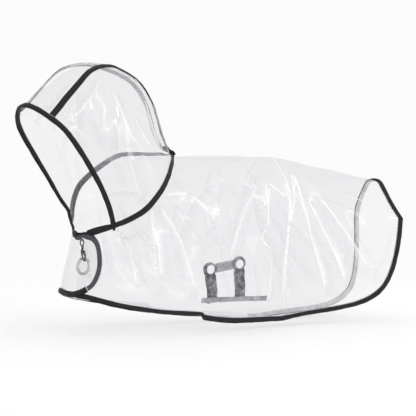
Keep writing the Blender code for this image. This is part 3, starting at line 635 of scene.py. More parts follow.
# %% A material with one shader
class Finish:
    """A material with one Principled shader, whose fixed sockets are set by name."""

    def __init__(self, name, **fixed):
        self.material = bpy.data.materials.new(name)
        self.material.use_nodes = True
        self.tree = self.material.node_tree
        self.shader = self.tree.nodes["Principled BSDF"]
        for socket, value in fixed.items():
            self.shader.inputs[socket.replace("_", " ")].default_value = value

    def node(self, kind, settings=None, *values, output=0, **named):
        """Adds a node. A value is a number, a colour or a Tone to link, and None leaves a socket alone."""
        made = self.tree.nodes.new(kind)
        for key, value in (settings or {}).items():
            setattr(made, key, value)
        by_name = ((key.replace("_", " "), value) for key, value in named.items())
        for place, value in [*enumerate(values), *by_name]:
            if isinstance(value, Tone):
                self.tree.links.new(value.socket, made.inputs[place])
            elif value is not None:
                made.inputs[place].default_value = value
        return Tone(self, made.outputs[output])

    def mix(self, share, one, two):
        """A blend of two colours, which have the seventh and eighth sockets of a Mix node."""
        unused = [None] * 5
        return self.node("ShaderNodeMix", {"data_type": "RGBA"}, share, *unused, one, two, output=2)

    def noise(self, scale, detail=2.0, roughness=0.5):
        where = self.node("ShaderNodeTexCoord", output=3)
        return self.node("ShaderNodeTexNoise", None, where, Scale=scale, Detail=detail, Roughness=roughness)

    def attribute(self, name):
        return self.node("ShaderNodeAttribute", {"attribute_name": name}, output=2)

    def rim(self):
        """0 where the surface faces the eye and 1 where it turns away."""
        return self.node("ShaderNodeLayerWeight", None, 0.5, output=1)

    def bump(self, height, strength, distance):
        return self.node("ShaderNodeBump", None, Strength=strength, Distance=distance, Height=height)

    def feed(self, **links):
        for socket, value in links.items():
            self.tree.links.new(value.socket, self.shader.inputs[socket.replace("_", " ")])
        return self.material


def grey(value, blue=0.0):
    """A grey colour, with a little more blue where it is cold."""
    return (value, value, value + blue, 1)

# %% [markdown]
# ### Clear film
#
# The film is soft plastic, drawn 0.3 mm thick. It lets most light straight through, adds a little milky haze,
# and its two faces reflect the lamps. A refracting glass would bend what is behind it, which such a thin
# sheet does not do, and it is slow to render, so the film is a pale glossy surface with a low alpha. Along
# its creases, and over a facet to one side of each, it is painted white and more opaque: a painted highlight.
# At a glancing angle more of it is seen, which raises the alpha too.

# %% Film
FILM_SMOKE = (0.29, 0.275, 0.345, 1)  # the film's own colour where it looks deepest
FILM_PALE = (0.41, 0.395, 0.465, 1)
CREST_SHARPNESS = 1.6  # how fast the painted highlight fades with the distance from a crest


def clear_film():
    film = Finish("clear_film", IOR=2.0, Coat_IOR=2.0, Coat_Roughness=0.09)
    cloudy = film.noise(9.0, 3.0)
    grain = film.noise(240.0, 2.0)
    # painted highlight: white and more opaque along each crest line and over the facet to one side of it
    off = film.attribute("off")
    side = (off * 1.1 + 0.5).clamp()
    crest_line = (off * off * -CREST_SHARPNESS).exponent()
    facet = side * film.attribute("facet") * (0.45 + cloudy * 0.75)
    painted_highlight = (crest_line * film.attribute("crest") * 0.85).larger(facet).clamp()
    alpha = 0.055 + cloudy * 0.035 + painted_highlight * 0.75 + film.rim().power(5.0) * 0.30
    shade = film.mix((painted_highlight * 2.0).clamp(), film.mix(cloudy, FILM_SMOKE, FILM_PALE), grey(1.0))
    height = cloudy * 0.35 + grain * 0.02
    return film.feed(
        Base_Color=shade,
        Alpha=alpha.clamp(),
        Roughness=0.16 + cloudy * 0.16 + painted_highlight * 0.4,
        Coat_Weight=1.0 - painted_highlight * 0.7,
        Normal=film.bump(height, 0.35, 0.0015),
    )


film_finish = clear_film()
print("film:", len(film_finish.node_tree.nodes), "nodes")

# %% [markdown]
# ### Twill tape
#
# The binding is a black polyester twill. Its yarns make fine diagonal ribs that cross the tape, and the tape
# is a little fuller in the middle, where it takes the light; its colour is also painted lighter along the
# middle and darker at the edges, a painted highlight and painted shade. Where film lies over a tape, a
# painted veil and painted glints stand for the film's light. The ribs follow the tape round every corner,
# so they are drawn on its own UV map, which is laid out in metres: U runs along the tape and V across it.

# %% Tape and thread
RIB_PITCH = 0.0011  # metres from one diagonal rib of the twill to the next
YARN_PITCH = 0.00042
PAINTED_FILM_GLINTS = grey(0.46, 0.02)  # painted glints: pale patches for the film's highlights where it lies on the strap
PAINTED_FILM_VEIL = grey(0.70, 0.01)  # painted veil: the light that one layer of film over a tape adds to it
PAINTED_WHITE_VEIL = grey(0.86, 0.01)  # painted veil that is almost white, where that film shows a highlight as well


def twill_tape(name, dark, pale, glint_patches):
    """Twill on a tape's own UV map. glint_patches is how much painted glint of film it gets: 0 for none."""
    tape = Finish(name, Specular_IOR_Level=0.2, Sheen_Weight=0.03, Sheen_Roughness=0.4)
    place = tape.node("ShaderNodeUVMap", {"uv_map": "cloth"})
    along, over = (tape.node("ShaderNodeSeparateXYZ", None, place, output=axis) for axis in (0, 1))
    ribs = ((along + over) * (2 * math.pi / RIB_PITCH)).wave() * 0.5 + 0.5
    yarns = ((along - over * 0.6) * (2 * math.pi / YARN_PITCH)).wave() * 0.5 + 0.5
    fluff = tape.noise(900.0, 3.0, 0.7)
    worn = tape.noise(60.0, 3.0)
    # painted highlight along the tape's middle and painted shade at its edges, from the edge attribute, on
    # the weave and wear
    weave_wear_and_highlight = (ribs * 0.3 + yarns * 0.1 + fluff * 0.2 + worn * 0.2) * (1.25 - tape.attribute("edge") * 0.75)
    shade = tape.mix(weave_wear_and_highlight.clamp(), dark, pale)
    # painted glints and painted veil: the light of film over the tape, painted into its colour
    under = tape.attribute("under")
    blotch = tape.noise(170.0, 5.0, 0.75)
    scratch = tape.noise(55.0, 4.0, 0.8)
    film_glints = ((blotch * 2.6 + scratch * 2.2 - 2.12) * glint_patches).clamp()
    painted_veil = (under * (scratch * 1.5 + blotch * 0.4 - 0.12)).clamp()
    painted_white = (under - 1.0).clamp()
    for share, layer in ((film_glints, PAINTED_FILM_GLINTS), (painted_veil, PAINTED_FILM_VEIL), (painted_white, PAINTED_WHITE_VEIL)):
        shade = tape.mix(share, shade, layer)
    height = ribs * 0.6 + yarns * 0.25 + fluff * 0.3
    bumped = tape.bump(height, 0.6, 0.00025)
    return tape.feed(Base_Color=shade, Roughness=0.55 + worn * 0.2, Normal=bumped)


def sewing_thread():
    thread = Finish("black_thread", Specular_IOR_Level=0.25)
    twist = thread.noise(2500.0, 1.0)
    shade = thread.mix(twist, grey(0.012, 0.001), grey(0.05, 0.005))
    bumped = thread.bump(twist, 0.5, 0.0002)
    return thread.feed(Base_Color=shade, Roughness=0.35 + twist * 0.3, Normal=bumped)


tape_finish = twill_tape("black_twill_tape", grey(0.004, 0.001), grey(0.03, 0.004), 0.0)
# the strap's tapes get painted glints, for the film that lies on them
strap_finish = twill_tape("strap_tape", grey(0.012, 0.001), grey(0.06, 0.003), 1.0)
thread_finish = sewing_thread()
print("cloth finishes:", tape_finish.name, strap_finish.name, thread_finish.name)

# %% [markdown]
# ### Resin and metal
#
# The press studs are white resin, a touch warm, with the faint flow marks of moulding. The clasp is steel
# wire blackened in an oil bath and rubbed brighter where it touches; the ring is nickel plated and finely
# scratched.

# %% Resin and metals
def white_resin():
    resin = Finish("white_resin", Subsurface_Weight=0.15, Subsurface_Scale=0.002, Coat_Weight=0.3)
    flow = resin.noise(180.0, 3.0)
    shade = resin.mix(flow, (0.90, 0.90, 0.89, 1), (0.95, 0.95, 0.945, 1))
    return resin.feed(Base_Color=shade, Roughness=0.25 + flow * 0.15, Normal=resin.bump(flow, 0.15, 0.0003))


def plated(name, dark, pale, rough, scratch):
    """Bright metal, duller where worn and with painted shade at its rim. scratch is how deep its fine lines
    go.
    """
    metal = Finish(name, Metallic=1.0)
    wear = metal.noise(420.0, 4.0, 0.6)
    lines = metal.bump(metal.noise(2600.0, 2.0), scratch, 0.0001)
    # painted shade: darker where the surface turns away from the eye
    shade = metal.mix((wear * 1.6 + 0.1 - metal.rim() * 1.6).clamp(), dark, pale)
    return metal.feed(Base_Color=shade, Roughness=(rough + wear * 0.2).clamp(), Normal=lines)


resin_finish = white_resin()
gunmetal_finish = plated("blackened_steel", grey(0.035, 0.003), grey(0.15, 0.005), 0.26, 0.35)
nickel_finish = plated("nickel_plate", (0.09, 0.088, 0.088, 1), (0.80, 0.79, 0.785, 1), 0.20, 0.25)
print("hard finishes:", resin_finish.name, gunmetal_finish.name, nickel_finish.name)

# %% [markdown]
# ## From a grid to cloth
#
# The measured grid is too coarse for a glossy film, which shows every facet. Each gap in it is filled with
# points on a smooth curve through its neighbours. The mesh gets a UV map in metres, worked out from the
# distances over the cloth, and a Solidify modifier gives it its real thickness.

# %% Fill in a grid smoothly
def filled(values, steps, corners=()):
    """Adds steps - 1 points between neighbours on the first axis, on smooth curves that break at corners."""
    values = np.asarray(values, float)
    gaps = np.maximum(np.linalg.norm(np.diff(values, axis=0), axis=-1, keepdims=True), 1e-6)
    rise = np.diff(values, axis=0) / gaps
    slopes = np.empty_like(values)
    slopes[1:-1] = (rise[:-1] * gaps[1:] + rise[1:] * gaps[:-1]) / (gaps[1:] + gaps[:-1])
    slopes[0], slopes[-1] = rise[0], rise[-1]
    leave, reach = slopes.copy(), slopes.copy()
    for corner in corners:
        reach[corner], leave[corner] = rise[corner - 1], rise[corner]
    made = [
        curve_between(step / steps, values[:-1], leave[:-1] * gaps, values[1:], reach[1:] * gaps)
        for step in range(1, steps + 1)
    ]
    return np.concatenate((values[:1], np.stack(made, 1).reshape(-1, *values.shape[1:])))


def fine(grid, along, over, corners=()):
    """Fills a grid in along its columns' order and then down its rows."""
    wide = filled(grid, along, corners)
    return np.swapaxes(filled(np.swapaxes(wide, 0, 1), over), 0, 1)


step = filled([[0], [0], [1], [1]], 4)[4:9, 0]
print("a step from 0 to 1, filled in:", step.round(2).tolist())

# %% Select, dress and settle a piece
def select_only(*pieces):
    """Selects these pieces alone, since an operator acts on all that is selected. The first one is active."""
    bpy.ops.object.select_all(action="DESELECT")
    for piece in pieces:
        piece.select_set(True)
    bpy.context.view_layer.objects.active = pieces[0]


def settle(piece, place=None):
    """Puts a piece in its place and writes the place into its mesh."""
    if place is not None:
        piece.matrix_world = place
    select_only(piece)
    bpy.ops.object.transform_apply(location=True, rotation=True, scale=True)
    return piece


def dress(piece, finish, body, replaced=()):
    """Gives a piece its finish, the body that carries it and the solids that it stands in for."""
    piece.data.materials.clear()
    piece.data.materials.append(finish)
    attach(piece, body)
    if replaced:
        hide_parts(*replaced)
    return piece


def cell_faces(rows, columns):
    """The four corners of each cell of a grid, as numbers of its points."""
    index = np.arange(rows * columns).reshape(rows, columns)
    corners = index[:-1, :-1], index[1:, :-1], index[1:, 1:], index[:-1, 1:]
    return np.stack(corners, -1).reshape(-1, 4).tolist()


def distances_over(grid, axis):
    """Distance of each point of a grid from its first row or column, measured over the cloth."""
    first = np.take(grid, [0], axis)
    return np.cumsum(np.linalg.norm(np.diff(grid, axis=axis, prepend=first), axis=-1), axis=axis)

# %% Make a piece of cloth
SMOOTH_ANGLE = math.radians(50)


def cloth(name, grid, out, wall, finish, replaced, fields):
    """A sheet through a grid of points in millimetres, facing along out, with a wall in millimetres."""
    at = len(grid) // 2, 2
    facing = np.cross(grid[at[0] + 1, at[1]] - grid[at], grid[at[0], at[1] + 1] - grid[at])
    turned = -1 if np.dot(facing, out[at]) < 0 else 1
    grid = grid[:, ::turned]
    rows, columns = grid.shape[:2]
    mesh = bpy.data.meshes.new(name)
    mesh.from_pydata((grid.reshape(-1, 3) * MM).tolist(), [], cell_faces(rows, columns))
    over = distances_over(grid, 1)
    along = distances_over(grid, 0)[:, columns // 2][:, None] + np.zeros_like(over)
    places = np.stack((along, over), -1).reshape(-1, 2) * MM
    corner_of = np.empty(len(mesh.loops), dtype=np.int32)
    mesh.loops.foreach_get("vertex_index", corner_of)
    layer = mesh.uv_layers.new(name="cloth")
    layer.data.foreach_set("uv", places[corner_of].reshape(-1).astype(np.float32))
    for attribute, values in fields.items():
        held = mesh.attributes.new(attribute, "FLOAT", "POINT")
        held.data.foreach_set("value", values[:, ::turned].reshape(-1).astype(np.float32))
    piece = bpy.data.objects.new(name, mesh)
    bpy.context.scene.collection.objects.link(piece)
    select_only(piece)
    solid = piece.modifiers.new("wall", "SOLIDIFY")
    solid.thickness = wall * MM
    solid.offset = 0.0
    bpy.ops.object.modifier_apply(modifier="wall")
    bpy.ops.object.shade_smooth_by_angle(angle=SMOOTH_ANGLE)
    return dress(piece, finish, "coat", replaced)

# %% [markdown]
# ## Creases
#
# Clear film keeps the marks of how it was folded and stretched. From two points on the back, where it is
# pulled up, crisp creases fan out down each flank, and from the neck seam others run down to the belly.
# Simulated cloth would place them anywhere, so each is laid along a bent line, with its own height
# and breadth: a ridge that is sharp at its crest and soft at its foot. The right flank gets the same family,
# shifted and of other heights.

# %% Creases of the flank and the hood
# Columns: start x, z, middle x, z, end x, z, height, half breadth, painted highlight of the crest, and
# painted
# highlight of the facet beside it: positive on the side towards the tail, negative on the side towards the
# head.
FLANK_CREASES = (
    (-15, -2, -18, -19, -18, -53, 1.2, 6, 0.9, 0),
    (0, -21, -27, -118, -19, -217, 2.2, 9, 1.0, -0.35),
    (4, -21, -24, -121, -11, -220, -1.0, 5, 0.8, 0),
    (2, -21, 14, -100, 69, -218, 2.8, 13, 1.0, 0.6),
    (-50, -40, -57, -71, -59, -103, -1.6, 9, 0.9, -0.3),
    (-50, -40, -37, -50, -24, -61, 1.2, 7, 0.9, -0.35),
    (-59, -103, -71, -117, -52, -134, 0.8, 8, 0.7, 0.45),
    (-52, -134, -52, -175, -47, -215, 1.0, 9, 0.4, 0.5),
    (-69, -41, -105, -82, -127, -161, 1.7, 12, 0.45, 0.5),
    (36, -57, 83, -108, 152, -180, 2.0, 12, 0.8, -0.5),
    (16, -63, 53, -123, 104, -201, -1.8, 12, 0.4, 0.7),
    (-237, -54, -209, -51, -187, -53, 1.2, 9, 0.4, -0.6),
    (-187, -53, -165, -70, -138, -76, 1.2, 10, 0.6, -0.4),
    (-165, -80, -156, -107, -149, -127, -1.2, 8, 0.45, -0.4),
    (-258, -70, -249, -116, -239, -178, 2.0, 12, 0.5, 0.6),
    (-245, -68, -208, -121, -170, -205, 1.9, 13, 0.6, -0.55),
    (-221, -70, -194, -106, -159, -143, 1.0, 9, 0.3, 0.35),
    (-267, -99, -254, -146, -240, -199, 1.2, 9, 0.45, 0.45),
    (-287, -105, -281, -139, -275, -186, 1.3, 8, 0.5, 0.5),
    (-190, -47, -195, -89, -193, -127, -0.8, 7, 0.3, 0),
    (-91, -143, -82, -177, -72, -214, 1.0, 8, 0.4, 0.4),
    (-121, -66, -131, -93, -136, -127, -1.0, 9, 0.3, 0.35),
    (104, -103, 139, -143, 177, -194, 1.0, 9, 0.4, -0.4),
    (80, -55, 143, -69, 189, -86, -0.9, 7, 0.5, 0),
    (33, -11, 74, -31, 119, -43, 0.9, 8, 0.3, 0.3),
    (182, -113, 180, -141, 163, -168, 1.0, 7, 0.4, -0.4),
    (-84, -20, -81, -37, -82, -57, 0.9, 7, 0.35, 0.3),
    (-135, -11, -133, -37, -110, -51, 0.8, 8, 0.3, 0.3),
)
HOOD_CREASES = (
    (-315, 89, -302, 46, -298, 6, 1.4, 10, 0.4, 0.6),
    (-298, 6, -289, -31, -274, -65, 1.0, 9, 0.35, 0.5),
    (-328, 102, -352, 66, -382, 42, 1.4, 8, 0.45, -0.45),
    (-247, 78, -246, 43, -237, 7, 1.2, 6, 0.7, -0.55),
    (-280, 51, -270, 29, -257, 7, -1.0, 7, 0.5, 0.5),
    (-362, 70, -374, 56, -371, 37, 0.9, 7, 0.4, 0.5),
    (-303, 84, -320, 32, -328, -8, -1.0, 12, 0.2, 0.35),
    (-342, 19, -321, -8, -303, -48, 0.9, 9, 0.25, 0.3),
    (-348, 79, -341, 56, -338, 32, -0.8, 8, 0.3, -0.3),
)
RIGHT_SLIP = 9.0  # how far back the right flank's creases lie from the left's
RIGHT_SHARE = (0.85, 1.1, 0.7, 0.95, 0.6)  # heights on the right, taken in turn
STEEP = (1.35, 0.6, 1.0, 0.75, 1.5)  # how much wider a crease is on its tail side than on its head side
print("creases:", len(FLANK_CREASES), "on a flank and", len(HOOD_CREASES), "on a side of the hood")

# %% How far a point is from a crease
def bent_line(x0, z0, x1, z1, x2, z2, count=13):
    """Points of a smooth line from a start through a middle to an end."""
    t = np.linspace(0, 1, count)[:, None]
    start, bend, end = np.array((x0, z0)), np.array((x1, z1)), np.array((x2, z2))
    return start * (1 - t) ** 2 + (2 * bend - (start + end) / 2) * 2 * t * (1 - t) + end * t**2


def off_line(points, line):
    """Distance of points from a line, signed to its tail side, and the share of the line that is nearest."""
    near = np.full(points.shape[:-1], 1e9)
    share = np.zeros(points.shape[:-1])
    hand = np.ones(points.shape[:-1])
    for k in range(len(line) - 1):
        run = line[k + 1] - line[k]
        off = points - line[k]
        s = np.clip((off @ run) / (run @ run), 0, 1)
        away = np.linalg.norm(off - s[..., None] * run, axis=-1)
        closer = away < near
        near = np.where(closer, away, near)
        share = np.where(closer, (k + s) / (len(line) - 1), share)
        hand = np.where(closer, np.sign(run[0] * off[..., 1] - run[1] * off[..., 0]), hand)
    return near * hand, share


example = bent_line(*FLANK_CREASES[1][:6])
print("the example crease is", round(lengths(example)[-1]), "mm long")

# %% Height and milkiness of the creases
NO_CREASE = 60.0  # distance that stands for no crease nearby, in millimetres
CREST_REACH = 8.0  # how far from a crest its painted highlight can still show
FACET_OVERLAP = 6.0  # how far a facet's painted highlight runs on past its crest
ROUNDING = 0.003  # rounds the top of a crest, which is otherwise as sharp as a knife
CREASE_START = (0.1, 0.1)  # where a crease fades in and out, as for a fold
CREASE_END = (0.16, 0.05)


def crease_fields(points, rows, slip=0.0, shares=(1.0,)):
    """For (x, z) places: height, signed distance to the nearest crease, painted highlight of its crest and
    facet.
    """
    shape = points.shape[:-1]
    heights, crest, facet = np.zeros(shape), np.zeros(shape), np.zeros(shape)
    nearest = np.full(shape, NO_CREASE)
    for number, (*places, height, breadth, crest_glint, facet_glint) in enumerate(rows):
        off, share = off_line(points, bent_line(*places) + np.array((slip, 0.0)))
        steep = STEEP[number % len(STEEP)]
        wide = breadth * (0.45 + 1.1 * share) * np.where(off > 0, steep, 1 / steep)
        fade = faded(share, CREASE_START, CREASE_END)
        slope = np.clip(1 - np.sqrt((off / wide) ** 2 + ROUNDING), 0, 1) ** 1.2
        size = shares[number % len(shares)]
        heights += height * size * fade * slope
        # painted highlight over the facet on one side of the crest, and along the crest itself
        glint_side = off * (1.0 if facet_glint >= 0 else -1.0)
        reach = breadth * (0.8 + 1.6 * share)
        across_facet = np.clip(1 - np.abs(off) / reach, 0, 1) ** 1.4
        spread = np.where(glint_side > 0, across_facet, 1.0) * (glint_side > -FACET_OVERLAP)
        facet = np.maximum(facet, abs(facet_glint) * size * fade * spread)
        mine = (np.abs(off) < np.abs(nearest)) & (fade > 0.02)
        nearest = np.where(mine, glint_side, nearest)
        crest = np.where(mine, crest_glint * size * fade * ease((CREST_REACH - np.abs(off)) / 3.0), crest)
    return heights, nearest, crest, facet


height, _, highlight, _ = (float(values[0]) for values in crease_fields(example[6:7], FLANK_CREASES))
print("half way down, it is", round(height, 1), "mm high; milkiness of its crest", round(highlight, 1))

# %% Ripples, and the hold of the tape at a panel's edges
# Waves that add up to no clear direction. Columns: waves along x, y and z, and where each starts.
WAVES = (
    (0.071, 0.033, 0.052, 0.4),
    (-0.043, 0.061, 0.084, 1.9),
    (0.112, -0.05, 0.031, 3.1),
    (0.027, 0.09, -0.118, 4.4),
    (0.151, 0.07, 0.1, 5.2),
    (-0.094, 0.13, 0.143, 0.9),
)


def ripples(points, size):
    """A low, uneven waviness that no flat sheet of film is free of."""
    x, y, z = np.moveaxis(points, -1, 0)
    total = sum(np.sin(a * x + b * y + c * z + d) / (i + 2) for i, (a, b, c, d) in enumerate(WAVES))
    return total * size


def edge_share(grid, clear, rise):
    """0 near a panel's four edges, where the tape holds it, and 1 in its middle."""
    downs, overs = distances_over(grid, 1), distances_over(grid, 0)
    inside = np.minimum(downs, downs[:, -1:] - downs)
    inside = np.minimum(inside, np.minimum(overs, overs[-1:] - overs))
    return ease((inside - clear) / rise)


print("ripples on the cape: up to", np.abs(ripples(cape, 0.55)).max().round(1), "mm")

# %% A creased panel
FILM_WALL = 0.3
FLAT_AT_EDGE = (7.0, 16.0)  # creases start this far from a panel's edges, and are full this much further in
CLEAR_AT_EDGE = (1.0, 6.0)  # the same for their painted highlight


def creased(grid, centre, tables, waviness):
    """Creases a fine grid along its normals. tables are (mask, rows, slip, shares, depth, painted highlight).
    """
    heights = ripples(grid, waviness)
    fields = np.zeros((3, *grid.shape[:2]))
    fields[0] = NO_CREASE
    for mask, rows, slip, shares, depth, glint_strength in tables:
        high, *found = crease_fields(grid[..., [0, 2]], rows, slip, shares)
        heights = heights + high * mask * depth
        fields = np.where(mask > 0.5, np.array(found) * np.array((1.0, glint_strength, glint_strength))[:, None, None], fields)
    shown = edge_share(grid, *CLEAR_AT_EDGE)
    made = grid + outward(grid, centre) * (heights * edge_share(grid, *FLAT_AT_EDGE))[..., None]
    return made, {"off": fields[0], "crest": fields[1] * shown, "facet": fields[2] * shown}


def film_panel(name, solid, grid, centre, tables, waviness):
    """A panel of clear film over a fine grid, in place of its solid."""
    made, fields = creased(grid, centre, tables, waviness)
    return cloth(name, made, outward(made, centre), FILM_WALL, film_finish, (solid,), fields)

# %% The cape's film
SAME = (1.0,)  # heights as they are in the table
fine_cape = fine(cape, 5, 6)
leftward = ease((6.0 - fine_cape[..., 1]) / 12.0)  # 1 on the left flank and 0 on the right
# the last number of each row is how strong the painted highlight on the creases is
tables = (
    (leftward, FLANK_CREASES, 0.0, SAME, 0.55, 1.0),
    (1 - leftward, FLANK_CREASES, RIGHT_SLIP, RIGHT_SHARE, 0.4, 0.3),
)
cape_film = film_panel("cape_film", "cape_panel", fine_cape, BODY_MIDDLE, tables, 0.55)
print(cape_film.name, "has", len(cape_film.data.polygons), "faces")

# %% The hood's film
# the last number is how strong the painted highlight on the hood's creases is
for name, slip, shares, glint_strength in (("left", 0.0, SAME, 1.0), ("right", 6.0, (0.9, 0.7, 1.1), 0.35)):
    fine_side = fine(hood[name][0], 5, 6)
    tables = ((1.0, HOOD_CREASES, slip, shares, 0.7, glint_strength),)
    piece_name, solid = f"hood_{name}_film", f"hood_side_{name}"
    film_panel(piece_name, solid, fine_side, HOOD_MIDDLE, tables, 0.6)
fine_crown = fine(crown_panel, 5, 4)
film_panel("hood_crown_film", "hood_crown", fine_crown, HOOD_MIDDLE, (), 0.5)

# %% [markdown]
# ## Tapes
#
# Every seam is covered and every edge bound with the same twill tape. Over a seam it lies flat and is
# stitched along both edges. At an edge it is folded over and stitched once through all the layers, so it
# stands up a little between the stitches and the fold. Each tape is a grid again, made from the panels that
# it joins, with its width crowned.

# %% The lines of a tape
TAPE_WALL = 0.7
MITRE_LIMIT = 0.6  # keeps the corner of a mitred tape from running far out at a sharp bend
FROM_SEAM = 6  # columns of a panel that a tape can reach over


def stretch(lines, start, stop):
    """Cuts a set of lines, one column each, between two fractional stations."""
    inner = np.arange(math.ceil(start + 0.2), math.floor(stop - 0.2) + 1)
    wanted = np.concatenate(((start,), inner, (stop,)))
    stations = np.arange(len(lines))
    flat = lines.reshape(len(lines), -1)
    cut = np.stack([np.interp(wanted, stations, flat[:, i]) for i in range(flat.shape[1])], -1)
    return cut.reshape(len(wanted), *lines.shape[1:])


def shortened(lines, amount=0.2):
    """Pulls both ends of a tape in by a small amount, so that two tapes meet with a gap."""
    lines = lines.copy()
    lines[0] += unit(lines[1] - lines[0]) * amount
    lines[-1] += unit(lines[-2] - lines[-1]) * amount
    return lines


def beside(line, out, width):
    """Points at a width to the left of a line, seen with out towards the eye, mitred at its bends."""
    ahead = unit(np.diff(line, axis=0))
    before = np.concatenate((ahead[:1], ahead))
    after = np.concatenate((ahead, ahead[-1:]))
    left = unit(np.cross(out, unit(before + after)))
    square = np.sum(left * unit(np.cross(out, after)), -1, keepdims=True)
    return line + left * width / np.maximum(square, MITRE_LIMIT)


def fold_over_edge(edge, inner, edge_out, inner_out):
    """Grid of a tape folded over a film's edge, from its outer leg round the edge to its inner leg."""
    middle = len(edge) // 2
    ahead = edge[middle + 1] - edge[middle]
    handed = 1.0 if np.dot(np.cross(edge_out[middle], ahead), edge[middle] - inner[middle]) > 0 else -1.0
    beyond = beside(edge, edge_out * handed, GAP + TAPE / 2)
    rows = (
        inner + inner_out * LAID,
        edge + edge_out * LAID,
        beyond + edge_out * LAID * 0.5,
        beyond - edge_out * LAID * 0.5,
        edge - edge_out * LAID,
        inner - inner_out * LAID,
    )
    return np.stack(rows, 1)


def over_seam(one, seam, two, one_out, two_out):
    """Grid of a tape laid over a seam, from the panel on one side to the panel on the other."""
    middle = unit(one_out + two_out)
    square = np.maximum(np.sum(middle * one_out, -1, keepdims=True), MITRE_LIMIT)
    return np.stack((one + one_out * LAID, seam + middle * LAID / square, two + two_out * LAID), 1)


def reach_in(grid, out, distance):
    """Points at a distance from a grid's first column along each of its rows, and the normals there."""
    points = [at_lengths(grid[:FROM_SEAM, row], [distance])[0] for row in range(grid.shape[1])]
    return np.array(points), out[1]


print("the middle of a tape lies", LAID, "mm from the middle of the film under it")

# %% The surface of a panel under a tape
def tree_of(grid):
    """A search tree over the middle surface of a panel."""
    return BVHTree.FromPolygons((grid.reshape(-1, 3) * MM).tolist(), cell_faces(*grid.shape[:2]))


def laid(tree, points, out):
    """Nearest points of a panel's middle surface, and its normals there on the side of out."""
    places, normals = [], []
    for point, side in zip(points, out):
        hit, normal, _, _ = tree.find_nearest(Vector(point) * MM)
        normal = np.array(normal)
        places.append(np.array(hit) / MM)
        normals.append(normal if np.dot(normal, side) > 0 else -normal)
    return np.array(places), np.array(normals)

# %% Cut and lay a tape
FOLD_CROWN = (0.0, 0.7, 1.0, 0.7, 0.15)  # how full a leg of a folded tape is, from its raw edge to the fold
FOLD_EDGE = (1.0, 0.35, 0.0, 0.3, 0.8)  # how near to an edge each of those lines is, for the finish, which paints the tape darker there and lighter along its middle
FULLNESS = 0.45  # how much a tape stands up along its middle
# How unevenly a tape lies. Columns: height, wavelength over two pi, where it starts.
TAPE_WAVES = ((0.12, 4.1, 0.0), (0.1, 7.3, 1.0), (0.08, 2.3, 2.0))
STITCH_ON_FOLD = 0.18  # how far in the stitches lie, as a share of the first line's gap
STITCH_ON_LAID = 0.75
stitch_rows = []


def tape_lines(kind, rows):
    """How full a tape is and how near to its edge, for each line across it."""
    if kind != "folded":
        span = np.abs(np.linspace(-1, 1, rows))
        return 1 - span**3, span**2
    full, edge = np.zeros(rows), np.ones(rows)
    full[:5], full[-5:] = FOLD_CROWN, FOLD_CROWN[::-1]
    edge[:5], edge[-5:] = FOLD_EDGE, FOLD_EDGE[::-1]
    return full, edge


def facing_out(grid, kind, centre):
    """Normals of a tape, away from its other leg where it is folded and else away from a centre."""
    out = normals_of(grid)
    place = len(grid) // 2, 2 if kind == "folded" else grid.shape[1] // 2
    away = grid[place] - (grid[place[0], -3] if kind == "folded" else centre)
    return -out if (np.dot(out[place], away) < 0) != (kind == "inner") else out


def paint_veil_underside(piece, grid, out, painted_veil):
    """Marks the underside of a laid tape with its painted veil."""
    amount = np.interp(np.linspace(0, 1, len(grid)), np.linspace(0, 1, len(painted_veil)), painted_veil)
    tree = tree_of(grid)
    columns = grid.shape[1]
    side = out[:, columns // 2]
    values = []
    for vertex in piece.data.vertices:
        hit, _, face, _ = tree.find_nearest(vertex.co)
        station = face // (columns - 1)
        above = (np.array(vertex.co) - np.array(hit)) @ side[station]
        values.append(float(amount[station]) if above < 0 else 0.0)
    piece.data.attributes["under"].data.foreach_set("value", values)


def tape(name, lines, solid, kind, corners=(), under=0.0, painted_veil=(0.0, 0.0), wall=TAPE_WALL):
    """A tape over a coarse grid of lines, in place of its solid. kind is folded, laid or inner.

    under is the painted veil for film seen over an inner tape or a folded one's inner leg: 0 for none, 1 for
    a painted haze, 2 for painted white. painted_veil is the same for a laid tape's underside, from start to
    end.
    """
    grid = fine(lines, 5, 4, corners)
    rows = grid.shape[1]
    full, edge = tape_lines(kind, rows)
    out = facing_out(grid, kind, HOOD_MIDDLE if name.startswith(("face", "crown")) else BODY_MIDDLE)
    run = lengths(grid[:, rows // 2])
    uneven = sum(height * np.sin(run / length + start) for height, length, start in TAPE_WAVES)
    wavy = uneven[:, None] * (0.4 + edge * 0.6)
    grid = grid + out * (full * FULLNESS)[None, :, None] + out * wavy[..., None]
    if kind == "folded":
        stitch_rows.append((grid[:, 0] * (1 - STITCH_ON_FOLD) + grid[:, 1] * STITCH_ON_FOLD, out[:, 0]))
    elif kind == "laid":
        for line, rim in ((1, 0), (-2, -1)):
            place = grid[:, line] * STITCH_ON_LAID + grid[:, rim] * (1 - STITCH_ON_LAID)
            stitch_rows.append((place, out[:, line]))
    # painted veil on an inner tape, or on a folded tape's inner leg
    veil_rows = np.zeros(rows)
    veil_rows[-6 if kind == "folded" else 0 :] = under
    marks = (("edge", edge), ("under", veil_rows))
    fields = {mark: np.broadcast_to(values, grid.shape[:2]) for mark, values in marks}
    finish = strap_finish if name.startswith("strap") else tape_finish
    piece = cloth(name, grid, out, wall, finish, (solid,), fields)
    if kind == "laid":
        paint_veil_underside(piece, grid, out, painted_veil)
    return piece

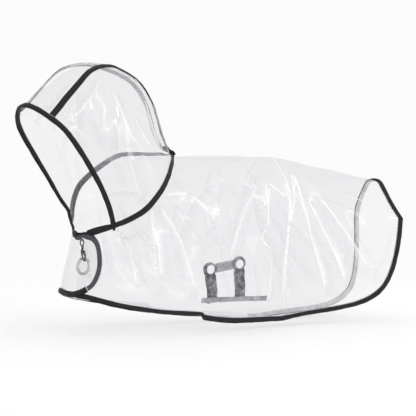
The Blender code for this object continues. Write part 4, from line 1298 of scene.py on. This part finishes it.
# %% Tape over the neck seam
NECK_PAINTED_VEIL = (0.1, 0.2, 0.9, 0.2, 0.1)  # painted veil on its underside for the film seen over it, from throat to throat
FIRST_STATION = 1.25  # where a tape starts, clear of the one that it meets at the throat
neck_line = cape[:, 0] + unit(cape[:, 0] - cape[:, 1]) * SEAM
nape = (len(cape) - FLAP_COLUMNS) // 2 - 1  # the cape's column down the middle of the back
last = len(cape) - FLAP_COLUMNS - 1  # and the last one before the flap
one, one_out = cape[:, 1], cape_out[:, 1]
two = neck_line + unit(neck_line - one) * NECK_TAPE / 2
two_out = one_out.copy()
for name, sign in (("left", -1), ("right", 1)):
    grid, out = hood[name]
    for column in range(HOOD_NECK_COLUMNS):
        place = nape + sign * (HOOD_NECK_COLUMNS - column)
        two[place] = grid[column, 1]
        two_out[place] = out[column, 1]
two[nape] = (two[nape - 1] + two[nape + 1]) / 2
two_out[nape] = unit(two_out[nape - 1] + two_out[nape + 1])
lines = stretch(over_seam(one, neck_line, two, one_out, two_out), FIRST_STATION, last - 0.1)
tapes = {"neck": tape("neck_tape", lines, "neck_binding", "laid", painted_veil=NECK_PAINTED_VEIL)}
print("neck tape:", round(lengths(lines[:, 1])[-1]), "mm long")

# %% Bindings of the hem
HEM_PAINTED_VEIL = 1.9  # painted veil on the inner leg, where the far side shows through the near one; past 1 it is painted white
REAR_PAINTED_VEIL = 1.0
hem_lines = fold_over_edge(cape[:, -1], cape[:, -2], cape_out[:, -1], cape_out[:, -2])
# Columns of the left half where the hem's runs meet; the right half's lie as far past the nape.
belly = nape - RUN_COLUMNS["tail"] - RUN_COLUMNS["rear"]
front = belly - RUN_COLUMNS["belly"]
tail_corners = RUN_COLUMNS["rear"], 2 * nape - 2 * belly - RUN_COLUMNS["rear"]
for name, start, stop, corners, under in (
    ("front_left", 0, front - 0.1, (front - 1,), HEM_PAINTED_VEIL),
    ("belly_left", front, belly, (), HEM_PAINTED_VEIL),
    ("rear", belly, 2 * nape - belly, tail_corners, REAR_PAINTED_VEIL),
    ("belly_right", 2 * nape - belly, 2 * nape - front, (), HEM_PAINTED_VEIL),
):
    lines = shortened(stretch(hem_lines, start, stop))
    tapes[f"hem_{name}"] = tape(f"hem_tape_{name}", lines, f"hem_binding_{name}", "folded", corners, under)
    print("hem tape", name, round(lengths(lines[:, 2])[-1]), "mm long")

# %% Tape inside the chest flap's end
STANDS_UNTIL = FLAP_COLUMNS + 4.5  # station of the flap's border where the tape comes down to the film
STANDS_OVER = 3.0  # stations that it takes to come down
STANDS_UP = (5.0, 1.2)  # how far its outer and inner edge stand above the film at the throat


def flap_border(cape, cape_out):
    """Border of the flap with its normals: along the neck edge, down the end, then back along the hem."""
    first = len(cape) - FLAP_COLUMNS - 2
    parts = (slice(first, -1), 0), (-1, slice(None)), (slice(-2, first - 1, -1), -1)
    return tuple(np.concatenate([grid[part] for part in parts]) for grid in (cape, cape_out))


flap_tree = tree_of(cape[last - 3 :])
border, out = flap_border(cape, cape_out)
handed = 1.0 if np.dot(np.cross(out[2], border[3] - border[2]), cape[-3, 3] - border[2]) > 0 else -1.0
inside, inside_out = laid(flap_tree, beside(border, out * handed, FLAP_TAPE), out)
just_in = border + unit(inside - border) * SEAM
_, out = laid(flap_tree, just_in, out)
lift = LAID + GAP
lines = np.stack((just_in - out * lift, inside - inside_out * lift), 1)
stands = ease((STANDS_UNTIL - np.arange(len(border))) / STANDS_OVER)[:, None] * np.array((0.0, 0.0, 1.0))
lines += stands[:, None] * np.array(STANDS_UP)[:, None]
lines = shortened(stretch(lines, 0.0, FLAP_TAPE_ENDS))
tapes["flap"] = tape("flap_tape", lines, "flap_binding", "inner")
print("flap tape:", round(lengths(lines[:, 0])[-1]), "mm long")

# %% Binding of the right front and the flap's lower corner
inside, inside_out = laid(flap_tree, beside(border, out * handed, BOUND), out)
round_end = fold_over_edge(border, inside, out, inside_out)
round_end = stretch(round_end, FLAP_TAPE_ENDS, len(border) - 1.0)[::-1]
front_right = hem_lines[2 * nape - front + 1 : last - 1]
# The tape starts on the level of the belly's tape and steps down a short way in from its end.
step_down = hem_lines[2 * nape - front] * 0.9 + front_right[0] * 0.1
lines = shortened(np.concatenate((step_down[None], front_right, round_end)))
tapes["hem_front_right"] = tape(
    "hem_tape_front_right", lines, "hem_binding_front_right", "folded", (1,), HEM_PAINTED_VEIL
)
print("front right hem tape:", round(lengths(lines[:, 2])[-1]), "mm long")

# %% Tapes over the crown seams
# The right one is seen through the hood's near side, more and more towards the nape, and gets a painted veil.
CROWN_PAINTED_VEILS = {"left": (0.0, 0.0), "right": (0.1, 0.35, 0.95, 1.2, 1.2)}
seams = {"left": pose(top * np.array((-1.0, 1.0, 1.0))), "right": pose(top)}
for name, first, second in (("left", 0, 1), ("right", -1, -2)):
    grid, out = hood[name]
    lines = over_seam(grid[:, -2], seams[name], crown_panel[:, second], out[:, -2], crown_out[:, second])
    step = np.linalg.norm(seams[name][1] - seams[name][0])
    lines = stretch(lines, (FACE_BOUND + 2 * GAP) / step, len(lines) - 1.0)
    piece_name, solid = f"crown_seam_tape_{name}", f"crown_tape_{name}"
    tapes[f"crown_{name}"] = tape(piece_name, lines, solid, "laid", painted_veil=CROWN_PAINTED_VEILS[name])
    print("crown tape", name, round(lengths(lines[:, 1])[-1]), "mm long")

# %% Binding of the face opening
NEAR_END = 17.5  # how far the near end runs on past the hood's corner
# The last three lines at either end. Columns: share of the way to the end, share of the width left, lift.
FACE_END = ((1.0, 0.4, 1.3), (0.6, 0.8, 1.3), (0.25, 1.0, 0.6))
sides = {}
for name in ("left", "right"):
    grid, out = hood[name]
    inside, inside_out = reach_in(grid, out, FACE_BOUND)
    rows = np.stack((grid[0], inside, out[0], inside_out), 1)
    sides[name] = stretch(rows, FIRST_STATION, len(inside) - 1.0)[:-1]
inside, inside_out = reach_in(crown_panel, crown_out, FACE_BOUND)
brim = np.stack((crown_panel[0], inside, crown_out[0], inside_out), 1)
corner_left = (sides["left"][-1] + brim[0]) / 2
corner_right = (sides["right"][-1] + brim[-1]) / 2
over_brim = np.concatenate((corner_left[None], brim[1:-1], corner_right[None]))
opening = np.concatenate((sides["left"], over_brim, sides["right"][::-1]))
lines = fold_over_edge(opening[:, 0], opening[:, 1], unit(opening[:, 2]), unit(opening[:, 3]))
near_goal = lines[0].mean(0) + unit(lines[0].mean(0) - lines[1].mean(0)) * NEAR_END
throat = neck_line[last] * 0.7 + lines[-1].mean(0) * 0.3 + unit(cape_out[last, 0]) * 1.5
face_ends = []
for end, goal, out in ((lines[0], near_goal, opening[0, 2]), (lines[-1], throat, opening[-1, 2])):
    centre = end.mean(0)
    rows = []
    for way, slim, rise in FACE_END:
        rows.append(centre + (goal - centre) * way + (end - centre) * slim + unit(out) * rise)
    face_ends.append(rows)
lines = np.concatenate((face_ends[0], lines, face_ends[1][::-1]))
tapes["face"] = tape("face_tape", lines, "face_binding", "folded")
print("face tape:", round(lengths(lines[:, 2])[-1]), "mm long")
print("tapes:", {name: len(piece.data.polygons) for name, piece in tapes.items()}, "faces")

# %% [markdown]
# ## Strap and press studs
#
# The belly strap is folded up inside the left flank and held by two press studs. Its tapes are cut like the
# others, but from lines that are laid on the inside of the flank. A stud is moulded: a shallow disc with a
# rounded rim and a dished middle, so it is a cylinder with both faces inset three times and its rim bevelled.

# %% Tapes inside the left flank
# Places are x, z of the straight coat, as seen through the flank.
BASE_FROM = (-173.0, -203.0)
BASE_TO = (-50.0, -206.0)
BASE_WIDTH = 7.5
TAB_WIDTH = 17.0
TAB_HEAD = 22.0
TABS = {"front": ((-151.0, -208.0), (-159.0, -156.5)), "rear": ((-98.0, -206.0), (-106.5, -153.5))}
LINK_FROM = (-164.0, -157.0)
LINK_TO = (-101.0, -153.0)
LINK_WIDTH = 13.5
SNAP_DIAMETER = 12.8
SNAP_HEIGHT = 1.8
SNAP_GAP = 0.9  # clearance between a flat snap and the rounded flank
STRAP_PAINTED_VEIL = 0.5  # painted veil on the base and the link, for the flank's film seen over them
INSIDE_FROM = -80.0  # half width at which a place is first looked for, on the left
INSIDE_STEP = 40.0  # how far inside the flank a search for its surface starts


def tape_inside(tree, path, widths, lifts):
    """Grid of a flat tape inside the left flank along x, z points of the straight coat."""
    path = np.array(path, float)
    guess = pose(np.column_stack((np.full(len(path), INSIDE_FROM), path)))
    start = []
    for point in guess:
        origin = Vector(point + np.array((0.0, INSIDE_STEP, 0.0))) * MM
        hit, _, _, _ = tree.ray_cast(origin, Vector((0.0, -1.0, 0.0)))
        start.append(np.array(hit) / MM)
    centre, inward = laid(tree, start, np.tile((0.0, 1.0, 0.0), (len(path), 1)))
    ahead = unit(np.gradient(centre, axis=0))
    side = unit(np.cross(ahead, inward))
    columns = []
    for share in (-0.5, 0.0, 0.5):
        points, normals = laid(tree, centre + side * np.array(widths)[:, None] * share, inward)
        columns.append(points + normals * (FILM / 2 + np.array(lifts))[:, None])
    return np.stack(columns, 1)


def along_line(start, end, shares):
    """Points at shares of the way along a straight line."""
    start, end = np.array(start), np.array(end)
    return start + (end - start) * np.array(shares)[:, None]


def even_tape(start, end, width, lift, count):
    """Grid of a tape of one width and one lift along a straight line."""
    path = along_line(start, end, np.linspace(0, 1, count))
    return tape_inside(flank_tree, path, [width] * count, [lift] * count)


flank_tree = tree_of(cape[: nape + 1])
on_film = GAP + TAPE / 2
on_base = on_film + TAPE + GAP
on_snap = 2 * SNAP_GAP + SNAP_HEIGHT + TAPE / 2
print("the strap's layers lie", on_film, round(on_base, 2), round(on_snap, 2), "mm off the film")

# %% The folded strap
strap_lines = {"base": even_tape(BASE_FROM, BASE_TO, BASE_WIDTH, on_film, 13)}
strap = {"base": tape("strap_base_tape", strap_lines["base"], "strap_base", "inner", under=STRAP_PAINTED_VEIL)}
for name, (start, end) in TABS.items():
    reach = np.linalg.norm(np.array(end) - np.array(start))
    head = TAB_HEAD / 2
    angles = np.linspace(0.25 * np.pi, 0.94 * np.pi, 8)  # round the tab's head
    distances = np.concatenate((np.linspace(0, reach - head * 0.9, 5), reach + head * -np.cos(angles)))
    widths = np.concatenate(([TAB_WIDTH] * 5, TAB_HEAD * np.sin(angles)))
    lifts = on_base + (on_snap - on_base) * ease((distances - 0.3 * reach) / (0.4 * reach))
    strap_lines[name] = tape_inside(flank_tree, along_line(start, end, distances / reach), widths, lifts)
    strap[name] = tape(f"strap_{name}_tab", strap_lines[name], f"strap_tab_{name}", "inner")
strap_lines["link"] = even_tape(LINK_FROM, LINK_TO, LINK_WIDTH, on_snap + TAPE + GAP, 11)
strap["link"] = tape("strap_link_tape", strap_lines["link"], "strap_link", "inner", under=STRAP_PAINTED_VEIL)
print("strap:", {name: round(lengths(lines[:, 1])[-1]) for name, lines in strap_lines.items()}, "mm long")

# %% Press studs
DISH = ((0.55, 0.0), (2.2, -0.25), (0.4, 0.15))  # insets of a stud's face: how far in, and how far up
STUD_RIM = 0.35  # width of its softened edge


def select_faces(piece, sign):
    """Selects the faces that look up, or down for a sign of -1, and leaves the piece in edit mode."""
    bpy.ops.object.mode_set(mode="EDIT")
    bpy.ops.mesh.select_mode(type="FACE")
    bpy.ops.mesh.select_all(action="DESELECT")
    bpy.ops.object.mode_set(mode="OBJECT")
    for face in piece.data.polygons:
        face.select = face.normal.z * sign > 0.9
    bpy.ops.object.mode_set(mode="EDIT")


def round_rim(piece, width, segments, angle):
    """Softens a piece's sharp edges with a Bevel modifier and shades it smooth."""
    rim = piece.modifiers.new("rim", "BEVEL")
    rim.width = width * MM
    rim.segments = segments
    rim.limit_method = "ANGLE"
    bpy.ops.object.modifier_apply(modifier="rim")
    bpy.ops.object.shade_smooth_by_angle(angle=math.radians(angle))


def facing(middle, out):
    """The place of a piece that is modelled lying flat: its middle goes here and its top faces along out."""
    turn = Vector(out).to_track_quat("Z", "Y").to_matrix().to_4x4()
    return Matrix.Translation(Vector(middle) * MM) @ turn


def snap(name, middle, out):
    """A round press stud with a softened rim and a shallow dish."""
    bpy.ops.object.select_all(action="DESELECT")
    bpy.ops.mesh.primitive_cylinder_add(vertices=64, radius=SNAP_DIAMETER / 2 * MM, depth=SNAP_HEIGHT * MM)
    piece = bpy.context.object
    piece.name = f"{name}_stud"
    for sign in (1, -1):
        select_faces(piece, sign)
        for inward, upward in DISH:
            bpy.ops.mesh.inset(thickness=inward * MM, depth=upward * MM)
        bpy.ops.object.mode_set(mode="OBJECT")
    round_rim(piece, STUD_RIM, 3, 40)
    return dress(settle(piece, facing(middle, out)), resin_finish, "coat", (name,))


for name, (_, place) in TABS.items():
    ends = np.array(place) - (1, 0), np.array(place) + (1, 0)
    around = tape_inside(flank_tree, along_line(*ends, (0, 0.5, 1)), [2] * 3, [0] * 3)
    out = unit(np.cross(around[2, 1] - around[0, 1], around[1, 2] - around[1, 0]))
    out = out if out[1] > 0 else -out
    stud = snap(f"snap_{name}", around[1, 1] + out * (SNAP_GAP + SNAP_HEIGHT / 2), out)
    print(stud.name, "has", len(stud.data.polygons), "faces")

# %% Tab at the nape
# Middle line of the folded tape that stands on the neck seam. Columns: x, z.
NAPE_TAB = (
    (-184.6, 12.6),
    (-181.8, 9.8),
    (-178.8, 7.8),
    (-175.8, 6.9),
    (-173.2, 5.8),
    (-171.6, 4.0),
    (-170.8, 2.2),
)
NAPE_ACROSS = (-6.5, 0.0, 5.0)  # the tab's two edges and its middle line, across the nape
NAPE_SHIFT = (-1.6, 0.4)  # how far the tape lies from that line along x and z
NAPE_BEND = 0.12  # how much lower it gets towards its edges, for every millimetre
NAPE_WALL = 3.6  # its folded layers together

nape_path = at_shares(smooth_curve([(x, z, 0) for x, z in NAPE_TAB]), np.linspace(0, 1, 12))
nape_path += (*NAPE_SHIFT, 0.0)
nape_lines = [[(y, x, z - abs(y) * NAPE_BEND) for y in NAPE_ACROSS] for x, z, _ in nape_path]
tapes["nape"] = tape("nape_tab_tape", pose(np.array(nape_lines)), "nape_tab", "laid", wall=NAPE_WALL)
print("nape tab:", len(tapes["nape"].data.polygons), "faces")

# %% [markdown]
# ## Stitches
#
# A lock stitch shows as a short piece of thread that dips into the cloth at both ends. It could be a painted
# line, but from close by the thread's own roundness takes the light, so each stitch is a small spindle of
# twelve sides and two ends. The rows were noted down as each tape was laid.

# %% Stitches
STITCH_PITCH = 3.0
THREAD = 0.42  # thickness of the sewing thread
STITCH_LENGTH = 0.78  # share of the pitch that shows
STITCH_DIP = 0.35  # how far the ends dip into the cloth, as a share of the thread's thickness
# Rings of the spindle. Columns: place along the stitch, how thick it is there.
SPINDLE = ((-0.5, 0.3), (-0.2, 1.0), (0.2, 1.0), (0.5, 0.3))


def spindle():
    """Points of one stitch as shares of its length and thickness, and its faces."""
    turns = [(math.cos(k * math.pi / 2), math.sin(k * math.pi / 2)) for k in range(4)]
    points = [(place, thick * y, thick * z) for place, thick in SPINDLE for y, z in turns]
    faces = []
    for first in (0, 4, 8):
        for one, two in ((0, 1), (1, 2), (2, 3), (3, 0)):
            faces.append((first + one, first + two, first + 4 + two, first + 4 + one))
    return np.array(points), faces + [(3, 2, 1, 0), (12, 13, 14, 15)]


def stitches(name, rows):
    """Lock stitches along rows of points with their normals: a spindle for every stitch, in one mesh."""
    shape, faces = spindle()
    dip = (np.abs(shape[:, :1]) > 0.4) * THREAD * STITCH_DIP
    points, quads = [], []
    for line, out in rows:
        count = int(lengths(line)[-1] // STITCH_PITCH)
        both = np.column_stack((line, out))
        mids = at_lengths(both, (np.arange(count) + 0.5) * STITCH_PITCH)
        nexts = at_lengths(both, (np.arange(count) + 0.6) * STITCH_PITCH)
        for mid, after in zip(mids, nexts):
            ahead = unit(after[:3] - mid[:3])
            rise = unit(mid[3:] - ahead * np.dot(mid[3:], ahead))
            over = np.cross(rise, ahead)
            base = mid[:3] + rise * (TAPE_WALL / 2 + THREAD * 0.12)
            round_it = shape[:, 1:2] * over * THREAD / 2 + shape[:, 2:] * rise * THREAD / 2
            spots = base + shape[:, :1] * ahead * STITCH_PITCH * STITCH_LENGTH + round_it - rise * dip
            quads.extend([tuple(v + len(points) for v in face) for face in faces])
            points.extend(spots.tolist())
    mesh = bpy.data.meshes.new(name)
    mesh.from_pydata((np.array(points) * MM).tolist(), [], quads)
    piece = bpy.data.objects.new(name, mesh)
    bpy.context.scene.collection.objects.link(piece)
    mesh.materials.append(thread_finish)
    mesh.shade_smooth()
    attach(piece, "coat")
    return piece


stitching = stitches("stitching", stitch_rows)
print("stitches:", len(stitching.data.polygons) // len(spindle()[1]))

# %% [markdown]
# ## Clasp and ring
#
# The clasp is one steel wire: bent round into an eye at the top, through a turned barrel, and down into a
# hook that springs against its own shank. A split ring hangs in the hook: a flat-sided wire wound twice
# round. The wire is drawn as a curve and given its round section; the ring is two turned tori that lie
# against each other.

# %% Where the clasp and the ring hang
EYE_TOP = (-330.0, -26.5, -115.7)
RING_TOP = (-332.0, -38.0, -141.0)
RING_LOW = (-334.5, -39.0, -161.8)
RING_FACES = (-0.92, -0.335, 0.15)
RING_RADIUS = 10.6
RING_WIRE = 2.8

eye_top, ring_top = np.array(EYE_TOP), np.array(RING_TOP)
down = unit(np.array(RING_LOW) - ring_top)
ring_face = np.array(RING_FACES)
ring_face = unit(ring_face - down * np.dot(ring_face, down))
along = unit(ring_top - eye_top)  # down the clasp
flat = unit(ring_face - along * np.dot(ring_face, along))
tangent = np.cross(along, flat)
print("from the eye's top to the ring's top:", round(float(np.linalg.norm(ring_top - eye_top)), 1), "mm")

# %% Split ring
TURN_WIRE = 0.55  # half thickness of each of its two turns, as a share of the wire
TURN_FLATNESS = 0.48  # how much flatter a turn is than it is wide
TURN_APART = 0.23  # how far each turn lies from the middle, as a share of the wire

turns = []
for hand in (-1, 1):
    bpy.ops.object.select_all(action="DESELECT")
    bpy.ops.mesh.primitive_torus_add(
        major_segments=96,
        minor_segments=16,
        major_radius=RING_RADIUS * MM,
        minor_radius=RING_WIRE * TURN_WIRE * MM,
    )
    offset = Matrix.Translation((0.0, 0.0, hand * RING_WIRE * TURN_APART * MM))
    thin = Matrix.Diagonal((1.0, 1.0, TURN_FLATNESS, 1.0))
    bpy.context.object.matrix_world = facing(ring_top + down * RING_RADIUS, ring_face) @ offset @ thin
    turns.append(bpy.context.object)
select_only(*turns)
bpy.ops.object.join()
split_ring = settle(bpy.context.object)
split_ring.name = "split_ring"
bpy.ops.object.shade_smooth_by_angle(angle=math.radians(60))
dress(split_ring, nickel_finish, "ring", ("ring",))
print("ring:", len(split_ring.data.polygons), "faces")

# %% Wire
WIRE_CORNER = math.radians(50)


def arc(centre, across, down, wide, tall, start, stop, count):
    """Points of an ellipse's arc. Angle 0 is along across and 90 degrees along down."""
    angles = np.radians(np.linspace(start, stop, count))
    return centre + np.cos(angles)[:, None] * across * wide + np.sin(angles)[:, None] * down * tall


def wire(name, path, thick, closed, swell=None):
    """A round wire along points in millimetres. swell multiplies its thickness at each point."""
    bpy.ops.object.select_all(action="DESELECT")
    bpy.ops.curve.primitive_bezier_curve_add()
    curve = bpy.context.object
    curve.name = name
    data = curve.data
    data.splines.clear()
    spline = data.splines.new("POLY")
    spline.points.add(len(path) - 1)
    for point, place, share in zip(spline.points, path, np.ones(len(path)) if swell is None else swell):
        point.co = (*(np.array(place) * MM), 1.0)
        point.radius = share
    spline.use_cyclic_u = closed
    data.dimensions = "3D"
    data.bevel_depth = thick / 2 * MM
    data.bevel_resolution = 5
    data.use_fill_caps = not closed
    curve.location = (0, 0, 0)
    bpy.ops.object.convert(target="MESH")
    bpy.ops.object.mode_set(mode="EDIT")
    bpy.ops.mesh.select_all(action="SELECT")
    bpy.ops.mesh.remove_doubles(threshold=0.00001)
    bpy.ops.mesh.normals_make_consistent(inside=False)
    bpy.ops.object.mode_set(mode="OBJECT")
    bpy.ops.object.shade_smooth_by_angle(angle=WIRE_CORNER)
    return bpy.context.object

# %% The clasp's hook
HOOK_TURN = math.radians(75)  # between the eye's plane and the hook's
HOOK_REACH = 4.2
HOOK_WIRE = 1.98  # thickness at the barrel and in the bend
HOOK_SLACK = 0.9  # how far the ring hangs below the middle of the hook's bend
HOOK_SWELL = 0.75  # how much thicker the wire is down the hook's sides
BARREL_FROM = 8.4
BARREL_TO = 12.8

flat_of_hook = flat * math.cos(HOOK_TURN) + tangent * math.sin(HOOK_TURN)
wide = np.cross(along, flat_of_hook)
bend = np.linalg.norm(ring_top - eye_top) - HOOK_SLACK


def beside_clasp(places):
    """Points at distances below the eye's top and out to the side that the hook opens to."""
    return [eye_top + along * below + wide * out for below, out in places]


shank = beside_clasp(((BARREL_TO - 1.6, -0.2), (BARREL_TO + 0.2, -0.4), (BARREL_TO + 3.2, -2.3)))
bow = arc(eye_top + along * bend, wide, along, HOOK_REACH, HOOK_REACH, 180, 0, 25)
tip = beside_clasp(((bend - 5.5, 3.9), (BARREL_TO + 5.0, 2.9), (BARREL_TO + 2.6, 2.3)))
hook_line = filled(np.concatenate((shank, bow, tip)), 3)
below = (hook_line - eye_top) @ along
leaves_barrel = np.clip((below - BARREL_TO) / 2.5, 0, 1)
nears_bend = np.clip((bend - 2.5 - below) / 3.0, 0, 1)
swell = 1.0 + HOOK_SWELL * leaves_barrel * nears_bend
hook = wire("clasp_hook", hook_line, HOOK_WIRE, False, swell)
dress(hook, gunmetal_finish, "clasp", ("clasp",))
print("hook wire:", round(lengths(hook_line)[-1]), "mm long")

# %% The clasp's eye and its thread loop
EYE_HEIGHT = 8.8
EYE_WIDTH = 6.4
EYE_WIRE = 1.75
LOOP_RADIUS = 1.9
LOOP_WIRE = 0.9
LOOP_SET = 0.3  # how far the loop's middle lies behind the eye's wire

eye_line = arc(eye_top + along * EYE_HEIGHT / 2, tangent, along, EYE_WIDTH / 2, EYE_HEIGHT / 2, 0, 352, 45)
eye = wire("clasp_eye", eye_line, EYE_WIRE, True)
dress(eye, gunmetal_finish, "clasp")
loop = arc(eye_top - flat * LOOP_SET, flat, along, LOOP_RADIUS, LOOP_RADIUS, 0, 345, 24)
thread_loop = wire("thread_loop", loop, LOOP_WIRE, True)
dress(thread_loop, thread_finish, "coat", ("clasp_loop",))
print("eye and loop:", len(eye.data.polygons), "and", len(thread_loop.data.polygons), "faces")

# %% The clasp's barrel
BARREL_DIAMETER = 3.6
BARREL_LENGTH = BARREL_TO - BARREL_FROM
BARREL_CUTS = 4
GROOVES = (1, 4)  # which of the cuts, with the ends counted as 0 and 5, are turned down to a groove
GROOVE = 0.8  # thickness that is left there, as a share

bpy.ops.object.select_all(action="DESELECT")
bpy.ops.mesh.primitive_cylinder_add(vertices=48, radius=BARREL_DIAMETER / 2 * MM, depth=BARREL_LENGTH * MM)
barrel = bpy.context.object
barrel.name = "clasp_barrel"
bpy.ops.object.mode_set(mode="EDIT")
bpy.ops.mesh.select_mode(type="EDGE")
bpy.ops.mesh.select_all(action="DESELECT")
bpy.ops.object.mode_set(mode="OBJECT")
for edge in barrel.data.edges:
    heights = [barrel.data.vertices[v].co.z for v in edge.vertices]
    edge.select = heights[0] * heights[1] < 0
bpy.ops.object.mode_set(mode="EDIT")
bpy.ops.mesh.subdivide(number_cuts=BARREL_CUTS)
bpy.ops.object.mode_set(mode="OBJECT")
for vertex in barrel.data.vertices:
    if round((vertex.co.z / MM / BARREL_LENGTH + 0.5) * (BARREL_CUTS + 1)) in GROOVES:
        vertex.co.x *= GROOVE
        vertex.co.y *= GROOVE
round_rim(barrel, 0.15, 2, 40)
settle(barrel, facing(eye_top + along * (BARREL_FROM + BARREL_TO) / 2, along))
dress(barrel, gunmetal_finish, "clasp")
print("barrel:", len(barrel.data.polygons), "faces")

# %% [markdown]
# ## Pieces sewn on
#
# A sheet can be worn, gathered or folded but it can't grow. The hem tapes, the neck tape, the flap tape,
# the stitching and the thread loop are gathered in one list, and the strap's lines are looked up in turn.


sewn_on = [piece for name, piece in tapes.items() if name.startswith("hem")]
sewn_on += [tapes["neck"], tapes["flap"], stitching, thread_loop]
for name, company in (("front", [strap["base"]]), ("rear", []), ("link", [])):
    lines = strap_lines[name]

# %% [markdown]
# ## Floor, light and room
#
# A clear thing is seen by what it reflects and by how it dims what is behind it. A pale room all round gives
# it an even ground to dim. Three tall narrow lamps, like lit slits, stand in front of it: their reflections
# are the thin streaks that show its creases, and a low wide lamp behind it does the same for the far side.

# %% Floor and room
FLOOR_LEVEL = -0.2468
PAPER = grey(0.925)
FLOOR_SOLID = 1.6  # how solid the floor is at its middle; past 1 it stays fully solid for a way outwards
FLOOR_FADE = 1.1  # how much of that it loses with every metre
ROOM_LIGHT = 0.97

bpy.ops.object.select_all(action="DESELECT")
bpy.ops.mesh.primitive_plane_add(size=40.0, location=(0, 0, FLOOR_LEVEL))
floor = settle(bpy.context.object)
floor.name = "floor"
paper = Finish("pale_paper", Base_Color=PAPER, Roughness=0.9)
spot = paper.node("ShaderNodeTexCoord", output=3)
away = paper.node("ShaderNodeVectorMath", {"operation": "LENGTH"}, spot, output=1)
spread = (FLOOR_SOLID - away * FLOOR_FADE).clamp()
paper.feed(Alpha=spread * spread * (3.0 - spread * 2.0))
floor.data.materials.append(paper.material)
room = bpy.data.worlds.new("room")
room.use_nodes = True
room.node_tree.nodes["Background"].inputs["Color"].default_value = grey(1.0)
room.node_tree.nodes["Background"].inputs["Strength"].default_value = ROOM_LIGHT
bpy.context.scene.world = room

# %% Lamps
# Columns: name, place, what it points at, width, height and watts.
LAMPS = (
    ("key lamp", (0.7, -3.0, 1.25), (-0.05, 0, -0.1), 0.16, 2.6, 12),
    ("fill lamp", (2.4, -2.1, 1.25), (0, 0, -0.1), 0.14, 2.6, 10),
    ("front lamp", (-0.8, -3.1, 1.3), (-0.3, 0, 0), 0.12, 2.6, 8),
    ("back lamp", (0.4, 2.8, 2.2), (0, 0, -0.05), 1.6, 0.3, 6),
)


def lamp(name, place, target, width, height, watts):
    """A glowing rectangle that points at a target."""
    bpy.ops.object.select_all(action="DESELECT")
    bpy.ops.object.light_add(type="AREA", location=place)
    made = bpy.context.object
    made.name = name
    made.data.shape = "RECTANGLE"
    made.data.size = width
    made.data.size_y = height
    made.data.energy = watts
    made.rotation_euler = (Vector(target) - Vector(place)).to_track_quat("-Z", "Y").to_euler()
    return made


lamps = [lamp(*row) for row in LAMPS]
print("lamps:", [made.name for made in lamps])
